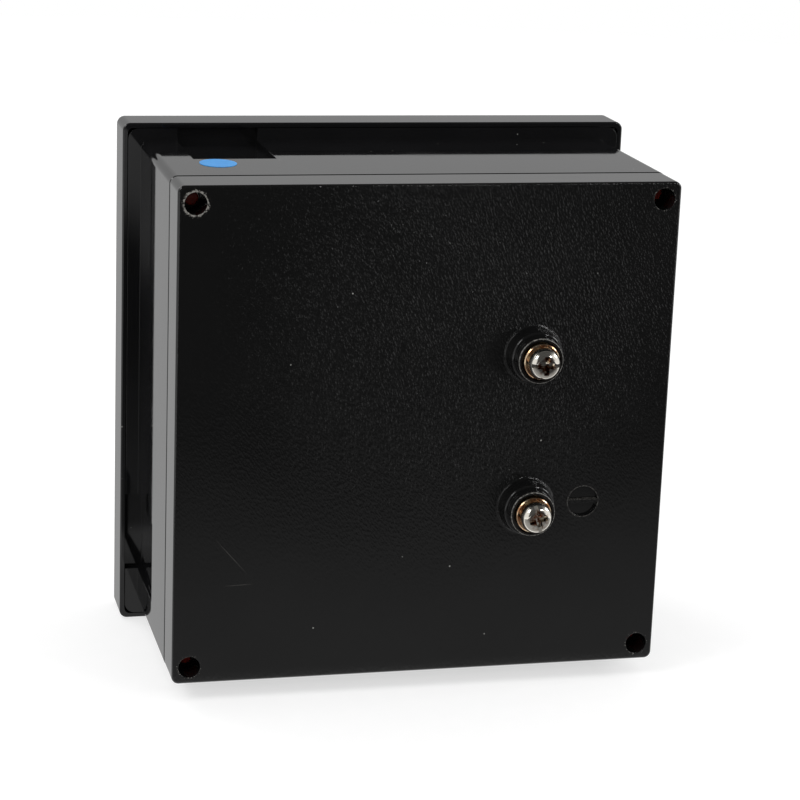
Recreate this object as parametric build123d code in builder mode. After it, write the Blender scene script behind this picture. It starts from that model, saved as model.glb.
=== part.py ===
from build123d import *
import math
import os

os.makedirs("parts", exist_ok=True)

# A square moving coil panel meter with a 90 degree scale.
# X runs to the right seen from the front, Y to the rear, Z up.
# The origin is the centre of the plane where the flange meets the panel.

# Case and front
bezel_size = 120.0
bezel_depth = 12.0
bezel_corner = 1.8
bezel_edge_round = 1.5
bezel_front_wall = 2.2
skirt_wall = 1.1
skirt_inner_corner = 1.4
skirt_rim_round = 0.4
bezel_border = 8.0
window_corner = 2.0
window_bevel = 1.2
mask_radius = 34.0
pane_margin = 0.3
pane_thickness = 2.0
pane_corner = 1.0
pane_notch_radius = 24.0
pane_rib = 1.2
pane_rib_depth = 1.6
gasket_width = 2.0
gasket_thickness = 0.8

flange_reach = 4.2
case_depth = 54.5
case_corner = 1.8
case_wall = 2.5
flange_thickness = 3.0
flange_corner = 2.4
flange_gap = 0.15
deck_position = 28.0
deck_thickness = 2.2
seam_chamfer = 0.25

# Clip pockets, one in each wall
pocket_inset = 8.3
pocket_width = 18.7
pocket_length = 23.5
pocket_front_depth = 1.2
pocket_rear_depth = 0.6
pocket_notch = 1.8

# Rear cover and its screws
cover_depth = 11.0
cover_step = 0.1
cover_wall = 2.9
cover_rear_wall = 2.6
cover_corner = 1.6
cover_edge_round = 0.5
lip_length = 60.0
lip_height = 2.0
lip_thickness = 1.2
lip_gap = 0.15
screw_inset = 3.95
screw_tube_radius = 4.1
screw_hole_radius = 2.45
screw_head_radius = 2.15
screw_head_height = 1.7
screw_head_depth = 7.0
screw_shank_radius = 1.2
screw_shank_gap = 0.06
screw_reach = 8.0
screw_run_out = 2.0
screw_head_bevel = 0.5
pillar_front = 26.0
lacquer_radius = 1.6
lacquer_height = 0.6
lacquer_bevel = 0.35

# Blanked adjuster hole in the rear cover
blank_x = -37.0
blank_z = -17.0
blank_radius = 3.5
blank_depth = 1.0
blank_bar = 0.85
blank_bar_drop = 0.12

# Terminals
terminal_x = -23.5
terminal_spacing = 35.0
boss_root_radius = 6.4
boss_shoulder_radius = 5.8
boss_shoulder_height = 3.9
boss_neck_radius = 5.1
boss_height = 6.4
boss_root_fillet = 0.5
boss_rim_round = 0.25
well_radius = 4.5
well_depth = 1.2
bush_radius = 3.0
bush_flange_radius = 3.9
bush_flange_height = 0.9
bush_bore_radius = 1.8
bush_inner_reach = 4.6
thread_gap = 0.04
tag_thickness = 0.5
tag_radius = 4.6
tag_tail = 9.0
tag_tail_width = 3.2
nut_flats = 8.0
nut_height = 2.0
flat_washer_radius = 4.0
flat_washer_thickness = 1.0
flat_washer_bevel = 0.2
spring_washer_radius = 3.35
spring_washer_thickness = 1.1
spring_washer_slit = 0.7
spring_washer_turn = 20.0
washer_bore_radius = 1.95
terminal_shank_radius = 1.75
terminal_shank_length = 10.0
terminal_head_radius = 3.45
terminal_head_height = 2.6
terminal_head_round = 1.8
slot_width = 0.85
slot_depth = 0.9
cross_width = 1.15
cross_length = 4.2
cross_depth = 1.7
cross_taper = 12.0
upper_slot_angle = 0.0
lower_slot_angle = 77.0

# Oval label on the top wall
label_inset = 12.9
label_y = 29.0
label_width = 8.2
label_length = 9.8
label_thickness = 0.1

# Movement
axis_inset = 20.0
core_radius = 6.6
core_length = 14.5
air_gap = 2.3
pole_thickness = 2.7
magnet_thickness = 3.6
yoke_thickness = 4.8
glue_gap = 0.03
yoke_front = 3.0
yoke_length = 15.0
pole_span = 116.0
magnet_span = 96.0
pole_direction = 45.0
strap_width = 4.0
strap_thickness = 0.5
frame_thickness = 3.0
frame_ear_reach = 24.0
frame_ear_radius = 4.0
frame_post_radius = 2.2
ear_screw_radius = 1.2
ear_screw_head = 2.2
ear_screw_height = 1.2
ear_screw_bevel = 0.4
bridge_post_radius = 2.0
bridge_post_angles = (10.0, -100.0)
bridge_front = -5.1
bridge_thickness = 1.0
bridge_end_radius = 3.0
bridge_middle_radius = 4.0
bridge_screw_radius = 0.9
bridge_screw_head = 1.7
bridge_screw_height = 0.9
bridge_screw_grip = 5.0
deck_jewel_hole = 2.5
yoke_screw_grip = 5.0

# Coil, staff, pointer and springs
former_wall = 0.35
former_width = 5.0
winding_width = 4.4
winding_build = 0.85
coil_core_gap = 0.55
coil_end_gap = 0.4
staff_radius = 0.5
staff_foot_radius = 2.0
staff_foot = 0.5
pivot_cone = 1.0
pivot_gap = 0.05
jewel_radius = 1.5
jewel_cup_radius = 0.75
jewel_cup_depth = 1.0
jewel_reach = 2.1
jewel_slot_width = 0.5
jewel_slot_depth = 0.6
jewel_nut_flats = 5.0
jewel_nut_height = 0.9
pointer_plane = -2.0
pointer_thickness = 0.35
scale_margin = 15.0
pointer_root_width = 1.7
pointer_tip_width = 0.4
hub_radius = 1.8
hub_height = 1.0
arm_length = 7.6
arm_width = 0.9
tail_weight_radius = 1.55
tail_weight_length = 3.0
side_weight_radius = 0.9
side_weight_length = 1.2
collet_radius = 1.2
collet_height = 0.5
spring_turns = 4
spring_outer_radius = 4.4
spring_strip = 0.14
spring_width = 0.4
front_spring_plane = -3.55
rear_spring_plane = 21.3
spring_stud_radius = 0.45

# Zero adjuster in the mask
adjuster_reach = 11.0
adjuster_shaft_radius = 2.45
adjuster_gap = 0.05
adjuster_head_radius = 3.8
adjuster_head_height = 1.4
adjuster_head_proud = 0.4
adjuster_head_gap = 0.2
adjuster_angle = -45.0
adjuster_boss_radius = 4.5
adjuster_boss_depth = 2.2
adjuster_slot_width = 1.0
adjuster_slot_depth = 0.8
adjuster_clip_radius = 3.6
adjuster_clip_thickness = 0.5
eccentric_offset = 1.2
eccentric_radius = 0.6
lever_thickness = 0.6
lever_ring_radius = 3.1
lever_gap = 0.05
lever_width = 2.2
fork_slot_gap = 0.12
fork_slot_root = 10.1
fork_width = 4.2
fork_root = 9.0
fork_tip = 15.4

# Dial and its stops
dial_gap = 0.5
dial_corner = 3.0
dial_thickness = 0.6
dial_front = 0.5
dial_notch_radius = 32.5
dial_post_inset = 6.8
dial_post_radius = 3.2
dial_screw_radius = 1.0
dial_screw_head = 2.0
dial_screw_height = 1.2
dial_screw_bevel = 0.5
dial_screw_length = 7.0
dial_slot_length = 3.0
dial_slot_width = 0.4
dial_slot_depth = 0.6
stop_radius = 0.6
stop_reach = 46.0
stop_height = 4.0
stop_margin = 3.5
stop_bevel = 0.2
scale_sweep = 90.0

# Board behind the deck
board_side_gap = 5.3
board_width = 50.0
board_height = 56.0
board_thickness = 1.6
board_post_height = 2.8
board_post_radius = 2.6
board_post_inset = 4.0
board_screw_radius = 1.0
board_screw_head = 1.9
board_screw_height = 1.2
board_screw_length = 4.0
resistor_radius = 2.6
resistor_bevel = 0.6
resistor_length = 14.0
resistor_leg_radius = 0.4
resistor_leg_bend = 0.8
resistor_leg_spread = 3.0
resistor_spacing = 9.0
rectifier_x = 14.4
rectifier_width = 9.0
rectifier_height = 7.0
rectifier_depth = 3.6
rectifier_chamfer = 0.45
lead_radius = 0.7
lead_bend = 3.0
lead_straight = 5.0
lead_shift = 4.5
coil_lead_reach = 38.0
coil_lead_radius = 0.4
coil_lead_bend = 1.5
coil_lead_rise = 3.5
coil_lead_hole = 1.2
coil_lead_rises = (18.0, 12.0)
coil_lead_offsets = ((-10.0, 17.0), (-16.0, 6.0))


def depth(y):
    """A plane across the meter at depth y; its local axes are X and Z."""
    return Plane.XZ.offset(-y)


def turned_at(x, z):
    """A plane through an axis parallel to Y at x, z; its local axes are the radius and Y."""
    return Plane(origin=(x, 0, z))


def y_axis_at(x, z):
    return Axis((x, 0, z), (0, 1, 0))


def polar(radius, angle):
    """A point at radius and angle from the movement's axis."""
    return (
        axis_x + radius * math.cos(math.radians(angle)),
        axis_z + radius * math.sin(math.radians(angle)),
    )


def radial_bar(inner, outer, width, angle, mode=Mode.ADD):
    """A bar that runs from an inner to an outer radius, drawn in the current sketch."""
    middle = polar((inner + outer) / 2, angle)
    with Locations(Location((*middle, 0), (0, 0, angle))):
        Rectangle(outer - inner, width, mode=mode)


def save(builder, name):
    builder.part.label = name
    export_step(builder.part, f"parts/{name}.step")


# Sizes and depths worked out from the values above
window_size = bezel_size - 2 * bezel_border
case_size = bezel_size - 2 * flange_reach
pane_size = case_size - 2 * pane_margin
dial_size = case_size - 2 * case_wall - 2 * dial_gap
screw_spacing = case_size - 2 * screw_inset
dial_post_spacing = dial_size - 2 * dial_post_inset
pocket_start = case_size / 2 - pocket_inset - pocket_width
label_x = case_size / 2 - label_inset
axis_x = window_size / 2 - axis_inset
axis_z = axis_inset - window_size / 2
pointer_length = axis_x + window_size / 2 - scale_margin
board_x = board_width / 2 + board_side_gap + case_wall - case_size / 2
coil_lead_x = axis_x - coil_lead_reach
coil_lead_rows = [axis_z + rise for rise in coil_lead_rises]
coil_lead_ends = [(axis_x + right, axis_z + up) for (right, up) in coil_lead_offsets]
bezel_front = -bezel_depth
pane_front = bezel_front + bezel_front_wall
pane_rear = pane_front + pane_thickness
case_front = pane_rear + gasket_thickness
seam = case_depth - cover_depth
deck_rear = deck_position + deck_thickness
case_inside = case_size - 2 * case_wall
skirt_inside = bezel_size - 2 * skirt_wall
flange_size = skirt_inside - 2 * flange_gap
boss_face = case_depth + boss_height
well_floor = boss_face - well_depth
bush_face = well_floor + bush_flange_height
terminal_places = [(terminal_x, terminal_spacing / 2), (terminal_x, -terminal_spacing / 2)]
cover_inside_face = case_depth - cover_rear_wall
screw_ledge = case_depth - screw_head_depth - screw_head_height
screw_places = GridLocations(screw_spacing, screw_spacing, 2, 2)
mask_corner = (window_size / 2, -window_size / 2)
adjuster_place = polar(adjuster_reach, adjuster_angle)
dial_rear = dial_front + dial_thickness
dial_post_places = [
    (-dial_post_spacing / 2, dial_post_spacing / 2),
    (dial_post_spacing / 2, dial_post_spacing / 2),
    (-dial_post_spacing / 2, -dial_post_spacing / 2),
]
board_post_places = [
    (
        board_x + across * (board_width / 2 - board_post_inset),
        up * (board_height / 2 - board_post_inset),
    )
    for across in (-1, 1)
    for up in (-1, 1)
]
board_front = deck_rear + board_post_height
board_rear = board_front + board_thickness

pole_inner = core_radius + air_gap
pole_outer = pole_inner + pole_thickness
magnet_inner = pole_outer + glue_gap
magnet_outer = magnet_inner + magnet_thickness
yoke_inner = magnet_outer + glue_gap
yoke_outer = yoke_inner + yoke_thickness
yoke_middle = (yoke_inner + yoke_outer) / 2
yoke_rear = yoke_front + yoke_length
core_front = yoke_rear - core_length
strap_rear = yoke_rear + strap_thickness
frame_front = deck_position - frame_thickness
strap_angles = (pole_direction + 90.0, pole_direction - 90.0)
ear_angles = (90.0, 180.0, 225.0)

former_inner = core_radius + coil_core_gap
former_outer = former_inner + former_wall
coil_outer = former_outer + winding_build
former_inner_front = core_front - coil_end_gap
former_inner_rear = strap_rear + coil_end_gap
coil_front = former_inner_front - former_wall - winding_build
coil_rear = former_inner_rear + former_wall + winding_build

front_cup = bridge_front + bridge_thickness
pivot_tip = front_cup - jewel_cup_depth + pivot_gap
rear_pivot_tip = frame_front - jewel_reach + jewel_cup_depth - pivot_gap
jewel_front_end = bridge_front - jewel_reach
lever_rear = bridge_front - lever_gap
lever_front = lever_rear - lever_thickness
nut_rear = lever_front - lever_gap
nut_front = nut_rear - jewel_nut_height

# Front cover: a square frame whose skirt wraps the case flange,
# with a quarter round mask over the movement in its lower right corner.
with BuildPart() as front_cover:
    with BuildSketch(depth(0)):
        RectangleRounded(bezel_size, bezel_size, bezel_corner)
    extrude(amount=bezel_depth)
    front_outline = front_cover.faces().sort_by(Axis.Y)[0].outer_wire().edges()
    fillet(front_outline, bezel_edge_round)
    with BuildSketch(depth(0)):
        RectangleRounded(skirt_inside, skirt_inside, skirt_inner_corner)
    extrude(amount=bezel_depth - bezel_front_wall, mode=Mode.SUBTRACT)
    rim_outline = front_cover.faces().sort_by(Axis.Y)[-1].outer_wire().edges()
    fillet(rim_outline, skirt_rim_round)
    with BuildSketch(depth(pane_front)):
        RectangleRounded(window_size, window_size, window_corner)
        with Locations(mask_corner):
            Circle(mask_radius, mode=Mode.SUBTRACT)
    extrude(amount=bezel_front_wall, mode=Mode.SUBTRACT)
    window_edges = front_cover.faces().sort_by(Axis.Y)[0].inner_wires()[0].edges()
    chamfer(window_edges, window_bevel)
    with BuildSketch(depth(pane_front + pane_rib_depth)):
        RectangleRounded(pane_size + 2 * pane_rib, pane_size + 2 * pane_rib, pane_corner)
        RectangleRounded(
            pane_size + 2 * flange_gap, pane_size + 2 * flange_gap, pane_corner, mode=Mode.SUBTRACT
        )
    extrude(amount=pane_rib_depth)
    with BuildSketch(depth(pane_front + adjuster_boss_depth)):
        with Locations(adjuster_place):
            Circle(adjuster_boss_radius)
    extrude(amount=adjuster_boss_depth)
    with BuildSketch(depth(pane_front + adjuster_boss_depth)):
        with Locations(adjuster_place):
            Circle(adjuster_shaft_radius + adjuster_gap)
    extrude(amount=adjuster_boss_depth + bezel_front_wall, mode=Mode.SUBTRACT)
    with BuildSketch(depth(bezel_front + adjuster_head_height - adjuster_head_proud)):
        with Locations(adjuster_place):
            Circle(adjuster_head_radius + adjuster_head_gap)
    extrude(amount=adjuster_head_height - adjuster_head_proud, mode=Mode.SUBTRACT)
save(front_cover, "front_cover")

# Window pane, notched round the zero adjuster behind the mask
with BuildPart() as window_pane:
    with BuildSketch(depth(pane_rear)):
        RectangleRounded(pane_size, pane_size, pane_corner)
        with Locations(mask_corner):
            Circle(pane_notch_radius, mode=Mode.SUBTRACT)
    extrude(amount=pane_thickness)
save(window_pane, "window_pane")

# Gasket between the pane and the front rim of the case
with BuildPart() as window_gasket:
    with BuildSketch(depth(case_front)):
        gasket_outside = case_inside + 2 * gasket_width
        RectangleRounded(gasket_outside, gasket_outside, pane_corner)
        RectangleRounded(case_inside, case_inside, pane_corner, mode=Mode.SUBTRACT)
        with Locations(mask_corner):
            Circle(pane_notch_radius, mode=Mode.SUBTRACT)
    extrude(amount=gasket_thickness)
save(window_gasket, "window_gasket")

# The shape that one clip pocket takes out of the top wall and the flange
with BuildPart() as clip_pocket:
    with BuildSketch(Plane.YZ.offset(pocket_start)):
        with BuildLine():
            Polyline(
                (-pocket_notch, case_size / 2 - pocket_front_depth),
                (0, case_size / 2 - pocket_front_depth),
                (pocket_length, case_size / 2 - pocket_rear_depth),
                (pocket_length, bezel_size / 2),
                (-pocket_notch, bezel_size / 2),
                close=True,
            )
        make_face()
    extrude(amount=pocket_width)

# Case body: a square tube with a flange, a deck across it for the movement,
# four pillars for the cover screws and three posts for the dial.
with BuildPart() as case_body:
    with BuildSketch(depth(seam)):
        RectangleRounded(case_size, case_size, case_corner)
    extrude(amount=seam - case_front)
    with BuildSketch(depth(0)):
        RectangleRounded(flange_size, flange_size, flange_corner)
    extrude(amount=flange_thickness)
    with BuildSketch(depth(seam)):
        Rectangle(case_inside, case_inside)
    extrude(amount=seam - case_front, mode=Mode.SUBTRACT)
    chamfer(case_body.faces().sort_by(Axis.Y)[-1].outer_wire().edges(), seam_chamfer)
    with BuildSketch(depth(deck_rear)):
        Rectangle(case_inside, case_inside)
    extrude(amount=deck_thickness)
    with BuildSketch(depth(seam)):
        with screw_places:
            Circle(screw_tube_radius)
        Rectangle(case_inside, case_inside, mode=Mode.INTERSECT)
    extrude(amount=seam - pillar_front)
    with BuildSketch(depth(deck_position)):
        with Locations(*dial_post_places):
            Circle(dial_post_radius)
    extrude(amount=deck_position - dial_rear)
    with BuildSketch(depth(board_front)):
        with Locations(*board_post_places):
            Circle(board_post_radius)
    extrude(amount=board_post_height)
    with BuildSketch(depth(seam)):
        with screw_places:
            Circle(screw_shank_radius + screw_shank_gap)
    extrude(amount=screw_reach + screw_run_out, mode=Mode.SUBTRACT)
    with BuildSketch(depth(dial_rear + dial_screw_length)):
        with Locations(*dial_post_places):
            Circle(dial_screw_radius + screw_shank_gap)
    extrude(amount=dial_screw_length, mode=Mode.SUBTRACT)
    with BuildSketch(depth(board_front)):
        with Locations(*board_post_places):
            Circle(board_screw_radius + screw_shank_gap)
    extrude(amount=board_screw_length, mode=Mode.SUBTRACT)
    with BuildSketch(depth(deck_rear)):
        with Locations(*[polar(frame_ear_reach, angle) for angle in ear_angles]):
            Circle(ear_screw_radius + screw_shank_gap)
        with Locations((axis_x, axis_z)):
            Circle(deck_jewel_hole)
        with Locations(*[(coil_lead_x, z) for z in coil_lead_rows]):
            Circle(coil_lead_hole)
    extrude(amount=deck_thickness, mode=Mode.SUBTRACT)
    for quarter in range(4):
        add(clip_pocket.part.rotate(Axis.Y, 90 * quarter), mode=Mode.SUBTRACT)
save(case_body, "case_body")

# Rear cover: a tray with stepped terminal bosses, screw tubes in its corners,
# a lip that enters the case and a blanked adjuster hole with a bar across it.
cover_size = case_size - 2 * cover_step
cover_inside = cover_size - 2 * cover_wall
lip_middle = case_inside / 2 - lip_gap - lip_thickness / 2
with BuildPart() as rear_cover:
    with BuildSketch(depth(case_depth)):
        RectangleRounded(cover_size, cover_size, cover_corner)
    extrude(amount=cover_depth)
    fillet(rear_cover.faces().sort_by(Axis.Y)[-1].outer_wire().edges(), cover_edge_round)
    chamfer(rear_cover.faces().sort_by(Axis.Y)[0].outer_wire().edges(), seam_chamfer)
    with BuildSketch(depth(cover_inside_face)):
        Rectangle(cover_inside, cover_inside)
    extrude(amount=cover_inside_face - seam, mode=Mode.SUBTRACT)
    with BuildSketch(depth(cover_inside_face)):
        with screw_places:
            Circle(screw_tube_radius)
        Rectangle(cover_inside + cover_wall, cover_inside + cover_wall, mode=Mode.INTERSECT)
    extrude(amount=cover_inside_face - seam)
    with BuildSketch(depth(seam + lip_height)):
        with Locations((0, lip_middle), (0, -lip_middle)):
            Rectangle(lip_length, lip_thickness)
        with Locations((lip_middle, 0), (-lip_middle, 0)):
            Rectangle(lip_thickness, lip_length)
    extrude(amount=2 * lip_height)
    for z in (terminal_spacing / 2, -terminal_spacing / 2):
        with BuildSketch(turned_at(terminal_x, z)):
            with BuildLine():
                Polyline(
                    (0, cover_inside_face),
                    (boss_root_radius, cover_inside_face),
                    (boss_root_radius, case_depth),
                    (boss_shoulder_radius, case_depth + boss_shoulder_height),
                    (boss_neck_radius, case_depth + boss_shoulder_height),
                    (boss_neck_radius, boss_face),
                    (0, boss_face),
                    close=True,
                )
            make_face()
        revolve(axis=y_axis_at(terminal_x, z))
    rings = rear_cover.edges().filter_by(GeomType.CIRCLE)
    root_rings = rings.filter_by(lambda ring: abs(ring.radius - boss_root_radius) < 0.01)
    shoulder_rings = rings.filter_by(lambda ring: abs(ring.radius - boss_shoulder_radius) < 0.01)
    rim_rings = rings.filter_by(lambda ring: abs(ring.center().Y - boss_face) < 0.01)
    fillet(root_rings.group_by(Axis.Y)[-1], boss_root_fillet)
    fillet(shoulder_rings, boss_root_fillet)
    fillet(rim_rings, boss_rim_round)
    with BuildSketch(depth(boss_face)):
        with Locations(*terminal_places):
            Circle(well_radius)
    extrude(amount=well_depth, mode=Mode.SUBTRACT)
    with BuildSketch(depth(boss_face)):
        with Locations(*terminal_places):
            Circle(bush_radius + thread_gap)
    extrude(amount=boss_face - seam, mode=Mode.SUBTRACT)
    with BuildSketch(depth(case_depth)):
        with Locations((blank_x, blank_z)):
            Circle(blank_radius)
            Rectangle(2 * blank_radius, blank_bar, mode=Mode.SUBTRACT)
    extrude(amount=blank_depth, mode=Mode.SUBTRACT)
    with BuildSketch(depth(case_depth)):
        with Locations((blank_x, blank_z)):
            Rectangle(2 * blank_radius, blank_bar)
    extrude(amount=blank_bar_drop, mode=Mode.SUBTRACT)
    with BuildSketch(depth(case_depth)):
        with screw_places:
            Circle(screw_hole_radius)
    extrude(amount=case_depth - screw_ledge, mode=Mode.SUBTRACT)
    with BuildSketch(depth(case_depth)):
        with screw_places:
            Circle(screw_shank_radius + screw_shank_gap)
    extrude(amount=cover_depth, mode=Mode.SUBTRACT)
save(rear_cover, "rear_cover")

# Four case screws, deep in the corner holes, and the lacquer that seals them
with BuildPart() as case_screws:
    with BuildSketch(depth(screw_ledge + screw_head_height)):
        with screw_places:
            Circle(screw_head_radius)
    extrude(amount=screw_head_height)
    chamfer(case_screws.faces().filter_by(Axis.Y).group_by(Axis.Y)[-1].edges(), screw_head_bevel)
    with BuildSketch(depth(screw_ledge)):
        with screw_places:
            Circle(screw_shank_radius)
    extrude(amount=screw_ledge - seam + screw_reach)
save(case_screws, "case_screws")

with BuildPart() as seal_lacquer:
    with BuildSketch(depth(case_depth - screw_head_depth + lacquer_height)):
        with screw_places:
            Circle(lacquer_radius)
    extrude(amount=lacquer_height)
    chamfer(seal_lacquer.faces().filter_by(Axis.Y).group_by(Axis.Y)[-1].edges(), lacquer_bevel)
save(seal_lacquer, "seal_lacquer")

# Oval label, stuck on the top wall
with BuildPart() as oval_label:
    with BuildSketch(Plane.XY.offset(case_size / 2)):
        with Locations((label_x, label_y)):
            Ellipse(label_width / 2, label_length / 2)
    extrude(amount=label_thickness)
save(oval_label, "oval_label")

# The two terminals: a threaded bush with its nut and solder tag inside,
# and a screw with a captive spring washer and flat washer outside.
tag_front = cover_inside_face - tag_thickness
bush_inner_end = cover_inside_face - bush_inner_reach
flat_washer_rear = bush_face + flat_washer_thickness
head_seat = flat_washer_rear + spring_washer_thickness
head_top = head_seat + terminal_head_height
lead_start_x = terminal_x + tag_tail - tag_tail_width / 2
for (side, z, slot_angle) in (
    ("upper", terminal_spacing / 2, upper_slot_angle),
    ("lower", -terminal_spacing / 2, lower_slot_angle),
):
    axis = y_axis_at(terminal_x, z)
    with BuildPart() as terminal_bush:
        with BuildSketch(turned_at(terminal_x, z)):
            with BuildLine():
                Polyline(
                    (bush_bore_radius, bush_inner_end),
                    (bush_radius, bush_inner_end),
                    (bush_radius, well_floor),
                    (bush_flange_radius, well_floor),
                    (bush_flange_radius, bush_face),
                    (bush_bore_radius, bush_face),
                    close=True,
                )
            make_face()
        revolve(axis=axis)
    save(terminal_bush, f"terminal_bush_{side}")

    with BuildPart() as solder_tag:
        with BuildSketch(depth(cover_inside_face)):
            with Locations((terminal_x, z)):
                Circle(tag_radius)
            with Locations((terminal_x + tag_tail / 2, z)):
                Rectangle(tag_tail, tag_tail_width)
            with Locations((terminal_x, z)):
                Circle(bush_radius + thread_gap, mode=Mode.SUBTRACT)
        extrude(amount=tag_thickness)
    save(solder_tag, f"solder_tag_{side}")

    with BuildPart() as bush_nut:
        with BuildSketch(depth(tag_front)):
            with Locations((terminal_x, z)):
                RegularPolygon(nut_flats / 2, 6, major_radius=False)
                Circle(bush_radius + thread_gap, mode=Mode.SUBTRACT)
        extrude(amount=nut_height)
    save(bush_nut, f"bush_nut_{side}")

    with BuildPart() as flat_washer:
        with BuildSketch(depth(flat_washer_rear)):
            with Locations((terminal_x, z)):
                Circle(flat_washer_radius)
                Circle(washer_bore_radius, mode=Mode.SUBTRACT)
        extrude(amount=flat_washer_thickness)
        chamfer(flat_washer.faces().sort_by(Axis.Y)[-1].outer_wire().edges(), flat_washer_bevel)
    save(flat_washer, f"flat_washer_{side}")

    with BuildPart() as spring_washer:
        with BuildSketch(depth(head_seat)):
            with Locations((terminal_x, z)):
                Circle(spring_washer_radius)
                Circle(washer_bore_radius, mode=Mode.SUBTRACT)
            with Locations((terminal_x + spring_washer_radius, z)):
                Rectangle(
                    spring_washer_radius,
                    spring_washer_slit,
                    rotation=spring_washer_turn,
                    mode=Mode.SUBTRACT,
                )
        extrude(amount=spring_washer_thickness)
    save(spring_washer, f"spring_washer_{side}")

    with BuildPart() as terminal_screw:
        with BuildSketch(depth(head_top)):
            with Locations((terminal_x, z)):
                Circle(terminal_head_radius)
        extrude(amount=terminal_head_height)
        fillet(terminal_screw.faces().sort_by(Axis.Y)[-1].edges(), terminal_head_round)
        with BuildSketch(depth(head_seat)):
            with Locations((terminal_x, z)):
                Circle(terminal_shank_radius)
        extrude(amount=terminal_shank_length)
        with BuildSketch(depth(head_top)):
            with Locations(Location((terminal_x, z, 0), (0, 0, slot_angle))):
                Rectangle(2 * terminal_head_radius, slot_width)
        extrude(amount=slot_depth, mode=Mode.SUBTRACT)
        with BuildSketch(depth(head_top)):
            with Locations(Location((terminal_x, z, 0), (0, 0, slot_angle))):
                Rectangle(cross_length, cross_width)
                Rectangle(cross_width, cross_length)
        extrude(amount=cross_depth, taper=cross_taper, mode=Mode.SUBTRACT)
    save(terminal_screw, f"terminal_screw_{side}")

# Movement frame: a cast plate with three ears on the deck and two posts that
# press the core strap on the yoke.
axis_place = (axis_x, axis_z)
ear_places = [polar(frame_ear_reach, angle) for angle in ear_angles]
strap_places = [polar(yoke_middle, angle) for angle in strap_angles]
with BuildPart() as movement_frame:
    with BuildSketch(depth(deck_position)) as plate_outline:
        with Locations(axis_place):
            Circle(yoke_outer)
        with Locations(*ear_places):
            Circle(frame_ear_radius)
        make_hull(plate_outline.edges())
        with Locations(*ear_places):
            Circle(ear_screw_radius + screw_shank_gap, mode=Mode.SUBTRACT)
        with Locations(axis_place):
            Circle(jewel_radius + thread_gap, mode=Mode.SUBTRACT)
    extrude(amount=frame_thickness)
    with BuildSketch(depth(frame_front)):
        with Locations(*strap_places):
            Circle(frame_post_radius)
    extrude(amount=frame_front - strap_rear)
    with BuildSketch(depth(deck_position)):
        with Locations(*strap_places):
            Circle(bridge_screw_head + thread_gap)
    extrude(amount=frame_thickness / 2, mode=Mode.SUBTRACT)
    with BuildSketch(depth(deck_position)):
        with Locations(*strap_places):
            Circle(bridge_screw_radius + thread_gap)
    extrude(amount=deck_position - strap_rear, mode=Mode.SUBTRACT)
save(movement_frame, "movement_frame")

with BuildPart() as frame_screws:
    with BuildSketch(depth(frame_front)):
        with Locations(*ear_places):
            Circle(ear_screw_head)
    extrude(amount=ear_screw_height)
    with BuildSketch(depth(deck_rear)):
        with Locations(*ear_places):
            Circle(ear_screw_radius)
    extrude(amount=deck_rear - frame_front)
    chamfer(frame_screws.faces().filter_by(Axis.Y).group_by(Axis.Y)[0].edges(), ear_screw_bevel)
save(frame_screws, "frame_screws")

# Two long screws clamp the yoke and the core strap to the posts of the frame
with BuildPart() as yoke_screws:
    with BuildSketch(depth(deck_position)):
        with Locations(*strap_places):
            Circle(bridge_screw_head)
    extrude(amount=frame_thickness / 2)
    with BuildSketch(depth(deck_position)):
        with Locations(*strap_places):
            Circle(bridge_screw_radius)
    extrude(amount=deck_position - yoke_rear + yoke_screw_grip)
save(yoke_screws, "yoke_screws")

bridge_places = [polar(yoke_middle, angle) for angle in bridge_post_angles]
with BuildPart() as yoke_ring:
    with BuildSketch(depth(yoke_rear)):
        with Locations(axis_place):
            Circle(yoke_outer)
            Circle(yoke_inner, mode=Mode.SUBTRACT)
    extrude(amount=yoke_length)
    with BuildSketch(depth(yoke_rear)):
        with Locations(*strap_places):
            Circle(bridge_screw_radius + thread_gap)
    extrude(amount=yoke_screw_grip, mode=Mode.SUBTRACT)
    with BuildSketch(depth(yoke_front + bridge_screw_grip)):
        with Locations(*bridge_places):
            Circle(bridge_screw_radius + thread_gap)
    extrude(amount=bridge_screw_grip, mode=Mode.SUBTRACT)
save(yoke_ring, "yoke_ring")


def ring_arc(inner, outer, middle_angle, span):
    """The part of a ring about the movement's axis that lies within a span of angles."""
    reach = 3 * outer
    with BuildSketch(mode=Mode.PRIVATE) as arc:
        Circle(outer)
        Circle(inner, mode=Mode.SUBTRACT)
        with BuildLine():
            Polyline(
                (0, 0),
                (
                    reach * math.cos(math.radians(middle_angle - span / 2)),
                    reach * math.sin(math.radians(middle_angle - span / 2)),
                ),
                (
                    reach * math.cos(math.radians(middle_angle + span / 2)),
                    reach * math.sin(math.radians(middle_angle + span / 2)),
                ),
                close=True,
            )
        make_face(mode=Mode.INTERSECT)
    return arc.sketch


# The air gap lies between the core and two pole shoes, each backed by a magnet
for (side, angle) in (("upper", pole_direction), ("lower", pole_direction + 180.0)):
    with BuildPart() as pole_shoe:
        with BuildSketch(depth(yoke_rear)):
            with Locations(axis_place):
                add(ring_arc(pole_inner, pole_outer, angle, pole_span))
        extrude(amount=yoke_length)
    save(pole_shoe, f"pole_shoe_{side}")

    with BuildPart() as magnet:
        with BuildSketch(depth(yoke_rear)):
            with Locations(axis_place):
                add(ring_arc(magnet_inner, magnet_outer, angle, magnet_span))
        extrude(amount=yoke_length)
    save(magnet, f"magnet_{side}")

with BuildPart() as iron_core:
    with BuildSketch(depth(yoke_rear)):
        with Locations(axis_place):
            Circle(core_radius)
    extrude(amount=core_length)
    chamfer(iron_core.faces().sort_by(Axis.Y)[0].edges(), former_wall)
save(iron_core, "iron_core")

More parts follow.
